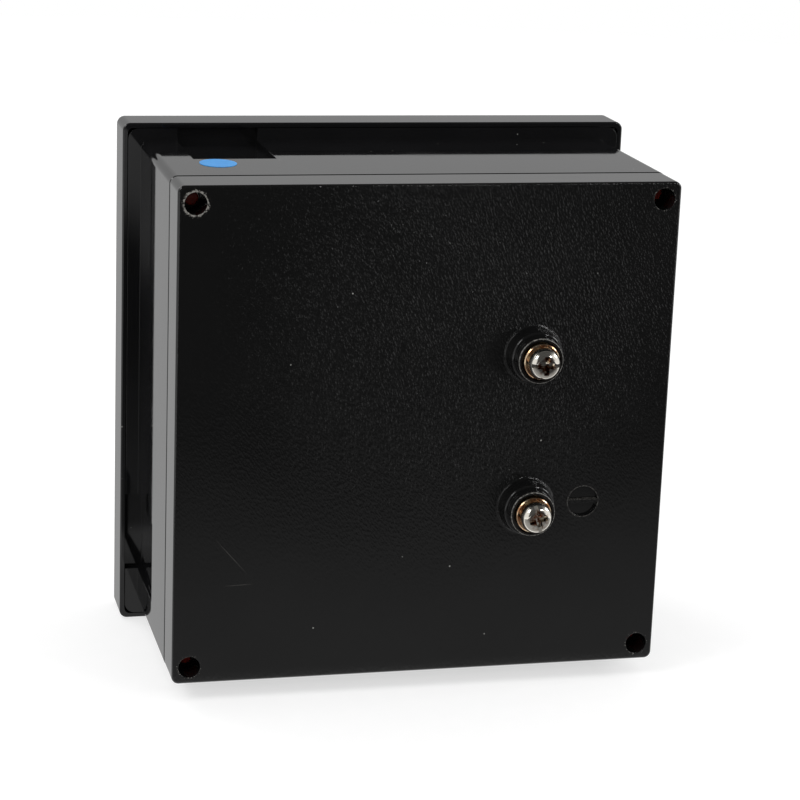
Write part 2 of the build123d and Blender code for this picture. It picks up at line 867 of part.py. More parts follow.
# The brass strap that carries the core across the gap between the pole shoes
with BuildPart() as core_strap:
    with BuildSketch(depth(strap_rear)):
        with Locations(Location((axis_x, axis_z, 0), (0, 0, strap_angles[0]))):
            SlotOverall(2 * yoke_middle + strap_width, strap_width)
        with Locations(*strap_places):
            Circle(bridge_screw_radius + thread_gap, mode=Mode.SUBTRACT)
    extrude(amount=strap_thickness)
save(core_strap, "core_strap")

# Front bridge on two posts, with its screws
with BuildPart() as bridge_posts:
    with BuildSketch(depth(yoke_front)):
        with Locations(*bridge_places):
            Circle(bridge_post_radius)
            Circle(bridge_screw_radius + thread_gap, mode=Mode.SUBTRACT)
    extrude(amount=yoke_front - front_cup)
save(bridge_posts, "bridge_posts")

with BuildPart() as front_bridge:
    with BuildSketch(depth(front_cup)) as bridge_outline:
        with Locations(axis_place):
            Circle(bridge_middle_radius)
        with Locations(*bridge_places):
            Circle(bridge_end_radius)
        make_hull(bridge_outline.edges())
        with Locations(axis_place):
            Circle(jewel_radius + thread_gap, mode=Mode.SUBTRACT)
        with Locations(*bridge_places):
            Circle(bridge_screw_radius + thread_gap, mode=Mode.SUBTRACT)
    extrude(amount=bridge_thickness)
save(front_bridge, "front_bridge")

with BuildPart() as bridge_screws:
    with BuildSketch(depth(bridge_front)):
        with Locations(*bridge_places):
            Circle(bridge_screw_head)
    extrude(amount=bridge_screw_height)
    with BuildSketch(depth(yoke_front + bridge_screw_grip)):
        with Locations(*bridge_places):
            Circle(bridge_screw_radius)
    extrude(amount=yoke_front + bridge_screw_grip - bridge_front)
save(bridge_screws, "bridge_screws")

# Jewel screws: threaded pins with a conical cup for the pivot
for (side, cup, back, way) in (
    ("front", front_cup, jewel_front_end, -1),
    ("rear", frame_front - jewel_reach, deck_position, 1),
):
    with BuildPart() as jewel_screw:
        with BuildSketch(turned_at(axis_x, axis_z)):
            with BuildLine():
                Polyline(
                    (0, cup + way * jewel_cup_depth),
                    (jewel_cup_radius, cup),
                    (jewel_radius, cup),
                    (jewel_radius, back),
                    (0, back),
                    close=True,
                )
            make_face()
        revolve(axis=y_axis_at(axis_x, axis_z))
        with BuildSketch(depth(max(back, back - way * jewel_slot_depth))):
            with Locations(axis_place):
                Rectangle(2 * jewel_radius, jewel_slot_width)
        extrude(amount=jewel_slot_depth, mode=Mode.SUBTRACT)
    save(jewel_screw, f"jewel_screw_{side}")

with BuildPart() as jewel_nut:
    with BuildSketch(depth(nut_rear)):
        with Locations(axis_place):
            RegularPolygon(jewel_nut_flats / 2, 6, major_radius=False)
            Circle(jewel_radius + thread_gap, mode=Mode.SUBTRACT)
    extrude(amount=jewel_nut_height)
save(jewel_nut, "jewel_nut")

# Coil: an aluminium former with the winding round it, turning about the core
with BuildPart() as coil_former:
    with BuildSketch(Plane.YZ.offset(axis_x + former_width / 2)):
        with Locations(((former_inner_front + former_inner_rear) / 2, axis_z)):
            former_length = former_inner_rear - former_inner_front
            Rectangle(former_length + 2 * former_wall, 2 * former_outer)
            Rectangle(former_length, 2 * former_inner, mode=Mode.SUBTRACT)
    extrude(amount=-former_width)
save(coil_former, "coil_former")

with BuildPart() as coil_winding:
    with BuildSketch(Plane.YZ.offset(axis_x + winding_width / 2)):
        with Locations(((coil_front + coil_rear) / 2, axis_z)):
            RectangleRounded(coil_rear - coil_front, 2 * coil_outer, winding_build)
            Rectangle(former_length + 2 * former_wall, 2 * former_outer, mode=Mode.SUBTRACT)
    extrude(amount=-winding_width)
save(coil_winding, "coil_winding")

# Staff halves: a foot cemented on the coil, a shaft and a pivot
for (side, foot, tip, way) in (
    ("front", coil_front, pivot_tip, -1),
    ("rear", coil_rear, rear_pivot_tip, 1),
):
    with BuildPart() as staff:
        with BuildSketch(turned_at(axis_x, axis_z)):
            with BuildLine():
                Polyline(
                    (0, foot),
                    (staff_foot_radius, foot),
                    (staff_foot_radius, foot + way * staff_foot),
                    (staff_radius, foot + way * staff_foot),
                    (staff_radius, tip - way * pivot_cone),
                    (0, tip),
                    close=True,
                )
            make_face()
        revolve(axis=y_axis_at(axis_x, axis_z))
    save(staff, f"staff_{side}")

# Pointer with its hub, tail and side arms, cut from one sheet
pointer_rear = pointer_plane + pointer_thickness / 2
hub_rear = pointer_plane + hub_height / 2
with BuildPart() as pointer:
    with BuildSketch(depth(pointer_rear)):
        with BuildLine():
            Polyline(
                (axis_x, axis_z + pointer_root_width / 2),
                (axis_x - pointer_length, axis_z + pointer_tip_width / 2),
                (axis_x - pointer_length, axis_z - pointer_tip_width / 2),
                (axis_x, axis_z - pointer_root_width / 2),
                close=True,
            )
        make_face()
        with Locations((axis_x + arm_length / 2, axis_z)):
            Rectangle(arm_length, arm_width)
        with Locations(axis_place):
            Rectangle(arm_width, 2 * arm_length)
    extrude(amount=pointer_thickness)
    with BuildSketch(depth(hub_rear)):
        with Locations(axis_place):
            Circle(hub_radius)
    extrude(amount=hub_height)
    with BuildSketch(depth(hub_rear)):
        with Locations(axis_place):
            Circle(staff_radius + thread_gap)
    extrude(amount=hub_height, mode=Mode.SUBTRACT)
save(pointer, "pointer")

# Three weights slid on the tail and side arms balance the pointer
tail_middle = arm_length - tail_weight_length / 2
side_middle = arm_length - side_weight_length / 2
with BuildPart() as balance_weights:
    with BuildSketch(Plane.YZ.offset(axis_x + tail_middle + tail_weight_length / 2)):
        with Locations((pointer_plane, axis_z)):
            Circle(tail_weight_radius)
            Rectangle(pointer_thickness, arm_width, mode=Mode.SUBTRACT)
    extrude(amount=-tail_weight_length)
    for way in (-1, 1):
        with BuildSketch(Plane.XY.offset(axis_z + way * side_middle - side_weight_length / 2)):
            with Locations((axis_x, pointer_plane)):
                Circle(side_weight_radius)
                Rectangle(arm_width, pointer_thickness, mode=Mode.SUBTRACT)
        extrude(amount=side_weight_length)
save(balance_weights, "balance_weights")

# Hairsprings: a flat spiral of half circles, each from its collet out to its stud
spring_start = collet_radius + spring_strip / 2
spring_pitch = (spring_outer_radius - spring_start) / spring_turns
stud_reach = spring_outer_radius + spring_strip / 2 + spring_stud_radius + thread_gap
stud_angle = strap_angles[0]
for (side, middle) in (("front", front_spring_plane), ("rear", rear_spring_plane)):
    spring_plane = Plane(
        origin=(axis_x, middle + spring_width / 2, axis_z),
        x_dir=(math.cos(math.radians(stud_angle)), 0, math.sin(math.radians(stud_angle))),
        z_dir=(0, -1, 0),
    )
    with BuildPart() as hairspring:
        with BuildSketch(spring_plane):
            with BuildLine():
                for half in range(2 * spring_turns):
                    center = (spring_pitch / 2 * (half % 2), 0)
                    radius = spring_start + spring_pitch / 2 * half
                    CenterArc(center, radius, 180 * (half % 2), 180)
            trace(line_width=spring_strip)
        extrude(amount=spring_width)
    save(hairspring, f"hairspring_{side}")

with BuildPart() as spring_collets:
    for middle in (front_spring_plane, rear_spring_plane):
        with BuildSketch(depth(middle + collet_height / 2)):
            with Locations(axis_place):
                Circle(collet_radius)
                Circle(staff_radius + thread_gap, mode=Mode.SUBTRACT)
        extrude(amount=collet_height)
save(spring_collets, "spring_collets")

# The rear spring ends on a stud in the frame
with BuildPart() as rear_spring_stud:
    with BuildSketch(depth(frame_front)):
        with Locations(polar(stud_reach, stud_angle)):
            Circle(spring_stud_radius)
    extrude(amount=frame_front - rear_spring_plane + spring_width)
    with BuildSketch(depth(frame_front)):
        with Locations(polar(stud_reach, stud_angle)):
            Circle(2 * spring_stud_radius)
    extrude(amount=spring_stud_radius)
save(rear_spring_stud, "rear_spring_stud")

# Zero lever: turns round the front jewel screw, carries the stud of the front
# spring and has a fork for the pin of the zero adjuster.
with BuildPart() as zero_lever:
    with BuildSketch(depth(lever_rear)):
        with Locations(axis_place):
            Circle(lever_ring_radius)
        radial_bar(0, fork_root, lever_width, adjuster_angle)
        radial_bar(fork_root, fork_tip, fork_width, adjuster_angle)
        radial_bar(0, stud_reach, lever_width, stud_angle)
        with Locations(polar(stud_reach, stud_angle)):
            Circle(lever_width / 2)
        slot_opening = 2 * (eccentric_radius + fork_slot_gap)
        radial_bar(fork_slot_root, fork_tip, slot_opening, adjuster_angle, mode=Mode.SUBTRACT)
        with Locations(axis_place):
            Circle(jewel_radius + lever_gap, mode=Mode.SUBTRACT)
    extrude(amount=lever_thickness)
    with BuildSketch(depth(front_spring_plane + spring_width / 2)):
        with Locations(polar(stud_reach, stud_angle)):
            Circle(spring_stud_radius)
    extrude(amount=front_spring_plane + spring_width / 2 - lever_rear)
save(zero_lever, "zero_lever")

# Zero adjuster: a slotted screw in the mask with an eccentric pin at its inner end
adjuster_head_seat = bezel_front + adjuster_head_height - adjuster_head_proud
boss_end = pane_front + adjuster_boss_depth
adjuster_end = boss_end + adjuster_gap + adjuster_clip_thickness
eccentric_place = polar(adjuster_reach + eccentric_offset, adjuster_angle)
with BuildPart() as zero_adjuster:
    with BuildSketch(depth(adjuster_head_seat)):
        with Locations(adjuster_place):
            Circle(adjuster_head_radius)
    extrude(amount=adjuster_head_height)
    fillet(zero_adjuster.faces().sort_by(Axis.Y)[0].edges(), adjuster_head_proud)
    with BuildSketch(depth(adjuster_end)):
        with Locations(adjuster_place):
            Circle(adjuster_shaft_radius)
    extrude(amount=adjuster_end - adjuster_head_seat)
    with BuildSketch(depth(lever_front + lever_thickness / 2)):
        with Locations(eccentric_place):
            Circle(eccentric_radius)
    extrude(amount=lever_front + lever_thickness / 2 - adjuster_end)
    with BuildSketch(depth(bezel_front - adjuster_head_proud + adjuster_slot_depth)):
        with Locations(adjuster_place):
            Rectangle(2 * adjuster_head_radius, adjuster_slot_width)
    extrude(amount=adjuster_slot_depth, mode=Mode.SUBTRACT)
save(zero_adjuster, "zero_adjuster")

with BuildPart() as adjuster_clip:
    with BuildSketch(depth(adjuster_end)):
        with Locations(adjuster_place):
            Circle(adjuster_clip_radius)
            Circle(adjuster_shaft_radius + thread_gap, mode=Mode.SUBTRACT)
    extrude(amount=adjuster_clip_thickness)
save(adjuster_clip, "adjuster_clip")

# Dial plate, open round the movement behind the mask
with BuildPart() as dial_plate:
    with BuildSketch(depth(dial_rear)):
        RectangleRounded(dial_size, dial_size, dial_corner)
        with Locations(mask_corner):
            Circle(dial_notch_radius, mode=Mode.SUBTRACT)
        with Locations(*dial_post_places):
            Circle(dial_screw_radius + thread_gap, mode=Mode.SUBTRACT)
    extrude(amount=dial_thickness)
save(dial_plate, "dial_plate")

with BuildPart() as dial_screws:
    with BuildSketch(depth(dial_front)):
        with Locations(*dial_post_places):
            Circle(dial_screw_head)
    extrude(amount=dial_screw_height)
    chamfer(dial_screws.faces().filter_by(Axis.Y).group_by(Axis.Y)[0].edges(), dial_screw_bevel)
    with BuildSketch(depth(dial_front - dial_screw_height + dial_slot_depth)):
        with Locations(*dial_post_places):
            Rectangle(dial_slot_length, dial_slot_width)
            Rectangle(dial_slot_width, dial_slot_length)
    extrude(amount=dial_slot_depth, mode=Mode.SUBTRACT)
    with BuildSketch(depth(dial_front + dial_screw_length)):
        with Locations(*dial_post_places):
            Circle(dial_screw_radius)
    extrude(amount=dial_screw_length)
save(dial_screws, "dial_screws")

# Stop pins a little beyond the two ends of the pointer's travel
with BuildPart() as pointer_stops:
    with BuildSketch(depth(dial_front)):
        with Locations(
            polar(stop_reach, 180.0 + stop_margin),
            polar(stop_reach, 180.0 - scale_sweep - stop_margin),
        ):
            Circle(stop_radius)
    extrude(amount=stop_height)
    chamfer(pointer_stops.faces().filter_by(Axis.Y).group_by(Axis.Y)[0].edges(), stop_bevel)
save(pointer_stops, "pointer_stops")

# Circuit board on four posts behind the deck, with two resistors and a rectifier
with BuildPart() as circuit_board:
    with BuildSketch(depth(board_rear)):
        with Locations((board_x, 0)):
            Rectangle(board_width, board_height)
        with Locations(*board_post_places):
            Circle(board_screw_radius + screw_shank_gap, mode=Mode.SUBTRACT)
    extrude(amount=board_thickness)
save(circuit_board, "circuit_board")

with BuildPart() as board_screws:
    with BuildSketch(depth(board_rear + board_screw_height)):
        with Locations(*board_post_places):
            Circle(board_screw_head)
    extrude(amount=board_screw_height)
    with BuildSketch(depth(board_rear)):
        with Locations(*board_post_places):
            Circle(board_screw_radius)
    extrude(amount=board_thickness + board_screw_length)
save(board_screws, "board_screws")

# Wirewound resistors lie on the board with their legs bent down to it
resistor_y = board_rear + resistor_radius + resistor_leg_radius
leg_foot = resistor_length / 2 + resistor_leg_spread
for (side, x) in (("left", board_x - resistor_spacing), ("right", board_x)):
    with BuildPart() as resistor:
        with BuildSketch(Plane.XY.offset(-resistor_length / 2)):
            with Locations((x, resistor_y)):
                Circle(resistor_radius)
        extrude(amount=resistor_length)
        chamfer(resistor.edges().filter_by(GeomType.CIRCLE), resistor_bevel)
        with BuildLine() as leg_path:
            FilletPolyline(
                (x, board_rear, -leg_foot),
                (x, resistor_y, -leg_foot),
                (x, resistor_y, leg_foot),
                (x, board_rear, leg_foot),
                radius=resistor_leg_bend,
            )
        with BuildSketch(Plane(origin=leg_path.line @ 0, z_dir=leg_path.line % 0)):
            Circle(resistor_leg_radius)
        sweep()
    save(resistor, f"resistor_{side}")

with BuildPart() as rectifier:
    with BuildSketch(depth(board_rear + rectifier_depth)):
        with Locations((board_x + rectifier_x, 0)):
            Rectangle(rectifier_height, rectifier_width)
    extrude(amount=rectifier_depth)
    chamfer(rectifier.faces().sort_by(Axis.Y)[-1].edges(), rectifier_chamfer)
save(rectifier, "rectifier")

# Thin leads from the board through the deck to the movement frame
coil_lead_y = frame_front - coil_lead_rise
with BuildPart() as coil_leads:
    for (z, (end_x, end_z)) in zip(coil_lead_rows, coil_lead_ends):
        with BuildLine() as lead_path:
            FilletPolyline(
                (coil_lead_x, board_front, z),
                (coil_lead_x, coil_lead_y, z),
                (end_x, coil_lead_y, end_z),
                (end_x, frame_front, end_z),
                radius=coil_lead_bend,
            )
        with BuildSketch(Plane(origin=lead_path.line @ 0, z_dir=lead_path.line % 0)):
            Circle(coil_lead_radius)
        sweep(path=lead_path.line)
save(coil_leads, "coil_leads")

# Leads from the solder tags to the board
for (side, way) in (("upper", 1), ("lower", -1)):
    start = Vector(lead_start_x, tag_front, way * terminal_spacing / 2)
    end = Vector(lead_start_x + lead_shift, board_rear, way * (terminal_spacing / 2 - lead_shift))
    with BuildPart() as lead:
        with BuildLine() as lead_path:
            FilletPolyline(
                start,
                start - Vector(0, lead_straight, 0),
                end + Vector(0, lead_straight, 0),
                end,
                radius=lead_bend,
            )
        with BuildSketch(Plane(origin=lead_path.line @ 0, z_dir=lead_path.line % 0)):
            Circle(lead_radius)
        sweep()
    save(lead, f"lead_{side}")
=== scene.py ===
import bpy
import bmesh
import math
from mathutils import Matrix, Vector


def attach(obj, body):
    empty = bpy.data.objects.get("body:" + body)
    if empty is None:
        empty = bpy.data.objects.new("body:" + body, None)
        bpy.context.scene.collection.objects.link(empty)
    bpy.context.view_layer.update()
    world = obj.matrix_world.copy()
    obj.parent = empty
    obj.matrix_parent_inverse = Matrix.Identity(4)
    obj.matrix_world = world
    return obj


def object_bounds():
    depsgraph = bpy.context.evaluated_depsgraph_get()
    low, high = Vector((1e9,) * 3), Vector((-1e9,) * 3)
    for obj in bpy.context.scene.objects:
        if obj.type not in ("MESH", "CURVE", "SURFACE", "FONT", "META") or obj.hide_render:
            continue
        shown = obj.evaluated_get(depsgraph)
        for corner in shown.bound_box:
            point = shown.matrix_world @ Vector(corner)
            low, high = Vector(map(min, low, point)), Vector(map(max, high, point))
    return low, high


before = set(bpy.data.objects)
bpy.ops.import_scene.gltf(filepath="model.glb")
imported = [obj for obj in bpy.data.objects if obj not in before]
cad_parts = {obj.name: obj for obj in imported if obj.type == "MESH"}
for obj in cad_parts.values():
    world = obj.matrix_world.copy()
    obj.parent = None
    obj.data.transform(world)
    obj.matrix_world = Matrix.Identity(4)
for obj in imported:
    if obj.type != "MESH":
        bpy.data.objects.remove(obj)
cad_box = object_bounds()

# The front cover: one moulding of black phenolic. Its skirt wraps the flange of the
# case, a quarter round mask hides the movement, and it is pressed on from the front.
MM = 0.001
EDGE_RADIUS = 0.15 * MM
WALL_DRAFT = 0.016


def linear(text):
    """An sRGB hex colour as the linear numbers that Blender takes."""
    channels = [int(text[i:i + 2], 16) / 255 for i in (1, 3, 5)]
    return (*[c / 12.92 if c <= 0.04045 else ((c + 0.055) / 1.055) ** 2.4 for c in channels], 1.0)


def start(name):
    """A new material and its empty node tree."""
    material = bpy.data.materials.new(name)
    material.use_nodes = True
    material.node_tree.nodes.clear()
    return material, material.node_tree


def add(tree, kind, settings=None, links=None):
    """A node of one kind, with its properties and sockets set and its inputs linked."""
    made = tree.nodes.new("ShaderNode" + kind)
    for key, value in (settings or {}).items():
        if isinstance(key, str) and hasattr(made, key):
            setattr(made, key, value)
        else:
            made.inputs[key].default_value = value
    for key, source in (links or {}).items():
        tree.links.new(source, made.inputs[key])
    return made


def dress(material, *names):
    """The named CAD nodes take this material."""
    for name in names:
        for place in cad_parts[name].material_slots:
            place.material = material


# Moulded phenolic: black all through, glossy, a little duller where it was handled,
# with a faint waviness from the mould and a few pale specks of dust.
phenolic, tree = start("moulded_phenolic")
place = add(tree, "TexCoord").outputs["Object"]
handled = add(tree, "TexNoise", {"Scale": 1 / (16 * MM), "Detail": 4.0}, {"Vector": place})
gloss = add(tree, "MapRange", {1: 0.35, 2: 0.7, 3: 0.02, 4: 0.07}, {0: handled.outputs[0]})
# The haze of the surface is finer than a pixel, so it is drawn at half a millimetre.
haze = add(tree, "TexNoise", {"Scale": 1 / (0.5 * MM), "Detail": 2.0}, {"Vector": place})
waves = add(tree, "TexNoise", {"Scale": 1 / (22 * MM), "Detail": 1.0}, {"Vector": place})
dust = add(tree, "TexVoronoi", {"Scale": 1 / (2.6 * MM)}, {"Vector": place})
dust_chance = add(tree, "SeparateColor", {}, {0: dust.outputs["Color"]})
dust_kept = add(tree, "Math", {"operation": "GREATER_THAN", 1: 0.95}, {0: dust_chance.outputs[0]})
dust_size = add(tree, "MapRange", {1: 0.05, 2: 0.09, 3: 1.0, 4: 0.0}, {0: dust.outputs["Distance"]})
dusty = add(
    tree, "Math", {"operation": "MULTIPLY"},
    {0: dust_size.outputs[0], 1: dust_kept.outputs[0]},
)
body = add(
    tree, "Mix", {"data_type": "RGBA", 6: linear("#0d0d0e"), 7: linear("#161617")},
    {0: handled.outputs[0]},
)
colour = add(
    tree, "Mix", {"data_type": "RGBA", 7: linear("#84847f")},
    {0: dusty.outputs[0], 6: body.outputs[2]},
)
# Edges of a moulding are never sharp: a small radius catches the light along them.
rounded = add(tree, "Bevel", {"samples": 4, "Radius": EDGE_RADIUS})
# The walls taper by nearly a degree towards the rear, to leave the mould, which moves
# what they mirror.
tapered = add(
    tree, "VectorMath", {"operation": "ADD", 1: (0, WALL_DRAFT, 0)},
    {0: rounded.outputs[0]},
)
tapered = add(tree, "VectorMath", {"operation": "NORMALIZE"}, {0: tapered.outputs[0]})
swell = add(
    tree, "Bump", {"Strength": 0.03, "Distance": 0.05 * MM},
    {"Height": waves.outputs[0], "Normal": tapered.outputs[0]},
)
skin = add(
    tree, "Bump", {"Strength": 0.03, "Distance": 0.01 * MM},
    {"Height": haze.outputs[0], "Normal": swell.outputs[0]},
)
shader = add(
    tree, "BsdfPrincipled", {"IOR": 1.5},
    {"Base Color": colour.outputs[2], "Roughness": gloss.outputs[0], "Normal": skin.outputs[0]},
)
add(tree, "OutputMaterial", {}, {"Surface": shader.outputs[0]})
dress(phenolic, "front_cover")

# The window pane: cut from clear acrylic sheet and notched round the mask. It is laid
# in the front cover from behind, between its ribs, on a thin rubber gasket.
acrylic, tree = start("cut_acrylic_sheet")
place = add(tree, "TexCoord").outputs["Object"]
smears = add(tree, "TexNoise", {"Scale": 1 / (18 * MM), "Detail": 4.0}, {"Vector": place})
wiped = add(tree, "MapRange", {1: 0.4, 2: 0.75, 3: 0.0, 4: 0.03}, {0: smears.outputs[0]})
clear = add(
    tree, "BsdfPrincipled",
    {"Base Color": linear("#fafdfc"), "IOR": 1.49, "Transmission Weight": 1.0},
    {"Roughness": wiped.outputs[0]},
)
# Light for what lies behind the pane passes straight through it.
passing = add(tree, "BsdfTransparent", {"Color": linear("#fbfcfb")})
rays = add(tree, "LightPath")
lighting = add(
    tree, "Math", {"operation": "MAXIMUM"},
    {0: rays.outputs["Is Shadow Ray"], 1: rays.outputs["Is Diffuse Ray"]},
)
pane = add(
    tree, "MixShader", {},
    {0: lighting.outputs[0], 1: clear.outputs[0], 2: passing.outputs[0]},
)
add(tree, "OutputMaterial", {}, {"Surface": pane.outputs[0]})
dress(acrylic, "window_pane")

# Die cut nitrile rubber: dull black with a pale bloom.
nitrile, tree = start("die_cut_nitrile")
place = add(tree, "TexCoord").outputs["Object"]
bloom = add(tree, "TexNoise", {"Scale": 1 / (3 * MM), "Detail": 5.0}, {"Vector": place})
colour = add(
    tree, "Mix", {"data_type": "RGBA", 6: linear("#161616"), 7: linear("#2e2e2d")},
    {0: bloom.outputs[0]},
)
grain = add(tree, "Bump", {"Strength": 0.3, "Distance": 0.03 * MM}, {"Height": bloom.outputs[0]})
shader = add(
    tree, "BsdfPrincipled", {"Roughness": 0.75, "IOR": 1.52},
    {"Base Color": colour.outputs[2], "Normal": grain.outputs[0]},
)
add(tree, "OutputMaterial", {}, {"Surface": shader.outputs[0]})
dress(nitrile, "window_gasket")

# The case: a square tube with a flange and a deck across it, moulded in one piece from
# the same phenolic. Each wall has a shallow pocket that takes a mounting clip.
dress(phenolic, "case_body")

# The dial: aluminium sheet with white baked enamel, on three posts of the case. Its
# scale is screen printed in black, and two pins stop the pointer at its ends.
PIVOT = Vector((32 * MM, 0, -32 * MM))
DIAL_FACE = 0.5 * MM
INK = 0.03 * MM
ARC_RADIUS = 66 * MM
ARC_WIDTH = 0.5 * MM
MINOR_END = 69 * MM
MIDDLE_END = 70.5 * MM
MAJOR_END = 72 * MM
NUMBER_RADIUS = 76.8 * MM
NUMBER_HEIGHT = 5.8 * MM
CAPITAL_SHARE = 0.7
MAJOR_WIDE = 0.9 * MM
MIDDLE_WIDE = 0.6 * MM
MINOR_WIDE = 0.35 * MM
SCALE_TOP = 100
SCALE_SWEEP = 90
MINOR_STEP = 2
MIDDLE_STEP = 10
MAJOR_STEP = 20

enamel, tree = start("baked_white_enamel")
place = add(tree, "TexCoord").outputs["Object"]
tone = add(tree, "TexNoise", {"Scale": 1 / (25 * MM), "Detail": 3.0}, {"Vector": place})
peel = add(tree, "TexNoise", {"Scale": 1 / (0.8 * MM), "Detail": 1.0}, {"Vector": place})
colour = add(
    tree, "Mix", {"data_type": "RGBA", 6: linear("#f0efe8"), 7: linear("#f8f7f1")},
    {0: tone.outputs[0]},
)
skin = add(tree, "Bump", {"Strength": 0.1, "Distance": 0.02 * MM}, {"Height": peel.outputs[0]})
shader = add(
    tree, "BsdfPrincipled", {"Roughness": 0.42, "IOR": 1.5},
    {"Base Color": colour.outputs[2], "Normal": skin.outputs[0]},
)
add(tree, "OutputMaterial", {}, {"Surface": shader.outputs[0]})
dress(enamel, "dial_plate")

# Screen printed ink: dense black, slightly uneven at its edges and in its gloss.
ink, tree = start("screen_printed_ink")
place = add(tree, "TexCoord").outputs["Object"]
coat = add(tree, "TexNoise", {"Scale": 1 / (1.2 * MM), "Detail": 3.0}, {"Vector": place})
colour = add(
    tree, "Mix", {"data_type": "RGBA", 6: linear("#101011"), 7: linear("#1f1f20")},
    {0: coat.outputs[0]},
)
sheen = add(tree, "MapRange", {1: 0.3, 2: 0.7, 3: 0.35, 4: 0.5}, {0: coat.outputs[0]})
shader = add(
    tree, "BsdfPrincipled", {"IOR": 1.5},
    {"Base Color": colour.outputs[2], "Roughness": sheen.outputs[0]},
)
add(tree, "OutputMaterial", {}, {"Surface": shader.outputs[0]})


def round_pivot(radius, turn, y):
    """A point on the dial at a radius from the pivot, turned in degrees from the zero mark."""
    angle = math.radians(180 - turn)
    return PIVOT + Vector((radius * math.cos(angle), y, radius * math.sin(angle)))


def printed_band(mesh, inner, outer, start_turn, end_turn, steps):
    """A thin flat band of ink between two radii and two turns."""
    rows = []
    for step in range(steps + 1):
        turn = start_turn + (end_turn - start_turn) * step / steps
        rows.append([
            mesh.verts.new(round_pivot(radius, turn, y))
            for radius, y in (
                (inner, DIAL_FACE), (outer, DIAL_FACE),
                (outer, DIAL_FACE - INK), (inner, DIAL_FACE - INK),
            )
        ])
    for one, two in zip(rows, rows[1:]):
        for i in range(4):
            mesh.faces.new((one[i], one[(i + 1) % 4], two[(i + 1) % 4], two[i]))
    mesh.faces.new(rows[0])
    mesh.faces.new(rows[-1][::-1])


def piece(name, mesh, material, body):
    """A mesh as a new piece that rides on a body, with its material."""
    bmesh.ops.recalc_face_normals(mesh, faces=mesh.faces)
    data = bpy.data.meshes.new(name)
    mesh.to_mesh(data)
    mesh.free()
    data.materials.append(material)
    made = bpy.data.objects.new(name, data)
    bpy.context.collection.objects.link(made)
    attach(made, body)


scale = bmesh.new()
printed_band(scale, ARC_RADIUS - ARC_WIDTH, ARC_RADIUS, 0, SCALE_SWEEP, SCALE_SWEEP)
for value in range(0, SCALE_TOP + 1, MINOR_STEP):
    turn = SCALE_SWEEP * value / SCALE_TOP
    if value % MAJOR_STEP == 0:
        end, wide = MAJOR_END, MAJOR_WIDE
    elif value % MIDDLE_STEP == 0:
        end, wide = MIDDLE_END, MIDDLE_WIDE
    else:
        end, wide = MINOR_END, MINOR_WIDE
    half = math.degrees(wide / 2 / ARC_RADIUS)
    printed_band(scale, ARC_RADIUS, end, turn - half, turn + half, 1)
piece("dial_scale", scale, ink, "case")

numbers = bmesh.new()
for value in range(0, SCALE_TOP + 1, MAJOR_STEP):
    text = bpy.data.curves.new("number", "FONT")
    text.body = str(value)
    text.align_x = "CENTER"
    text.align_y = "CENTER"
    text.size = NUMBER_HEIGHT / CAPITAL_SHARE
    text.resolution_u = 4
    text.extrude = INK / 2
    holder = bpy.data.objects.new("number", text)
    outline = bpy.data.meshes.new_from_object(holder)
    at = round_pivot(NUMBER_RADIUS, SCALE_SWEEP * value / SCALE_TOP, DIAL_FACE - INK / 2)
    outline.transform(Matrix.Translation(at) @ Matrix.Rotation(math.radians(90), 4, "X"))
    numbers.from_mesh(outline)
    bpy.data.meshes.remove(outline)
    bpy.data.objects.remove(holder)
    bpy.data.curves.remove(text)
piece("dial_numbers", numbers, ink, "case")

# Zinc plated steel: bright grey with the faint blue and yellow of its passivation, and
# turned marks too fine to see, which only spread its reflections.
plated_steel, tree = start("zinc_plated_steel")
place = add(tree, "TexCoord").outputs["Object"]
film = add(tree, "TexNoise", {"Scale": 1 / (1.1 * MM), "Detail": 3.0}, {"Vector": place})
colour = add(
    tree, "Mix", {"data_type": "RGBA", 6: linear("#b9bcc0"), 7: linear("#cdc8ba")},
    {0: film.outputs[0]},
)
rub = add(tree, "MapRange", {1: 0.3, 2: 0.7, 3: 0.22, 4: 0.38}, {0: film.outputs[0]})
shader = add(
    tree, "BsdfPrincipled", {"Metallic": 1.0},
    {"Base Color": colour.outputs[2], "Roughness": rub.outputs[0]},
)
add(tree, "OutputMaterial", {}, {"Surface": shader.outputs[0]})
dress(plated_steel, "dial_screws")

# Moulded epoxy and the plastic sleeves of the stops: matt black with a fine tooth.
epoxy, tree = start("moulded_epoxy")
place = add(tree, "TexCoord").outputs["Object"]
tooth = add(tree, "TexNoise", {"Scale": 1 / (0.4 * MM), "Detail": 3.0}, {"Vector": place})
colour = add(
    tree, "Mix", {"data_type": "RGBA", 6: linear("#1b1b1c"), 7: linear("#2a2a2b")},
    {0: tooth.outputs[0]},
)
skin = add(tree, "Bump", {"Strength": 0.4, "Distance": 0.02 * MM}, {"Height": tooth.outputs[0]})
shader = add(
    tree, "BsdfPrincipled", {"Roughness": 0.55, "IOR": 1.55},
    {"Base Color": colour.outputs[2], "Normal": skin.outputs[0]},
)
add(tree, "OutputMaterial", {}, {"Surface": shader.outputs[0]})
dress(epoxy, "pointer_stops")

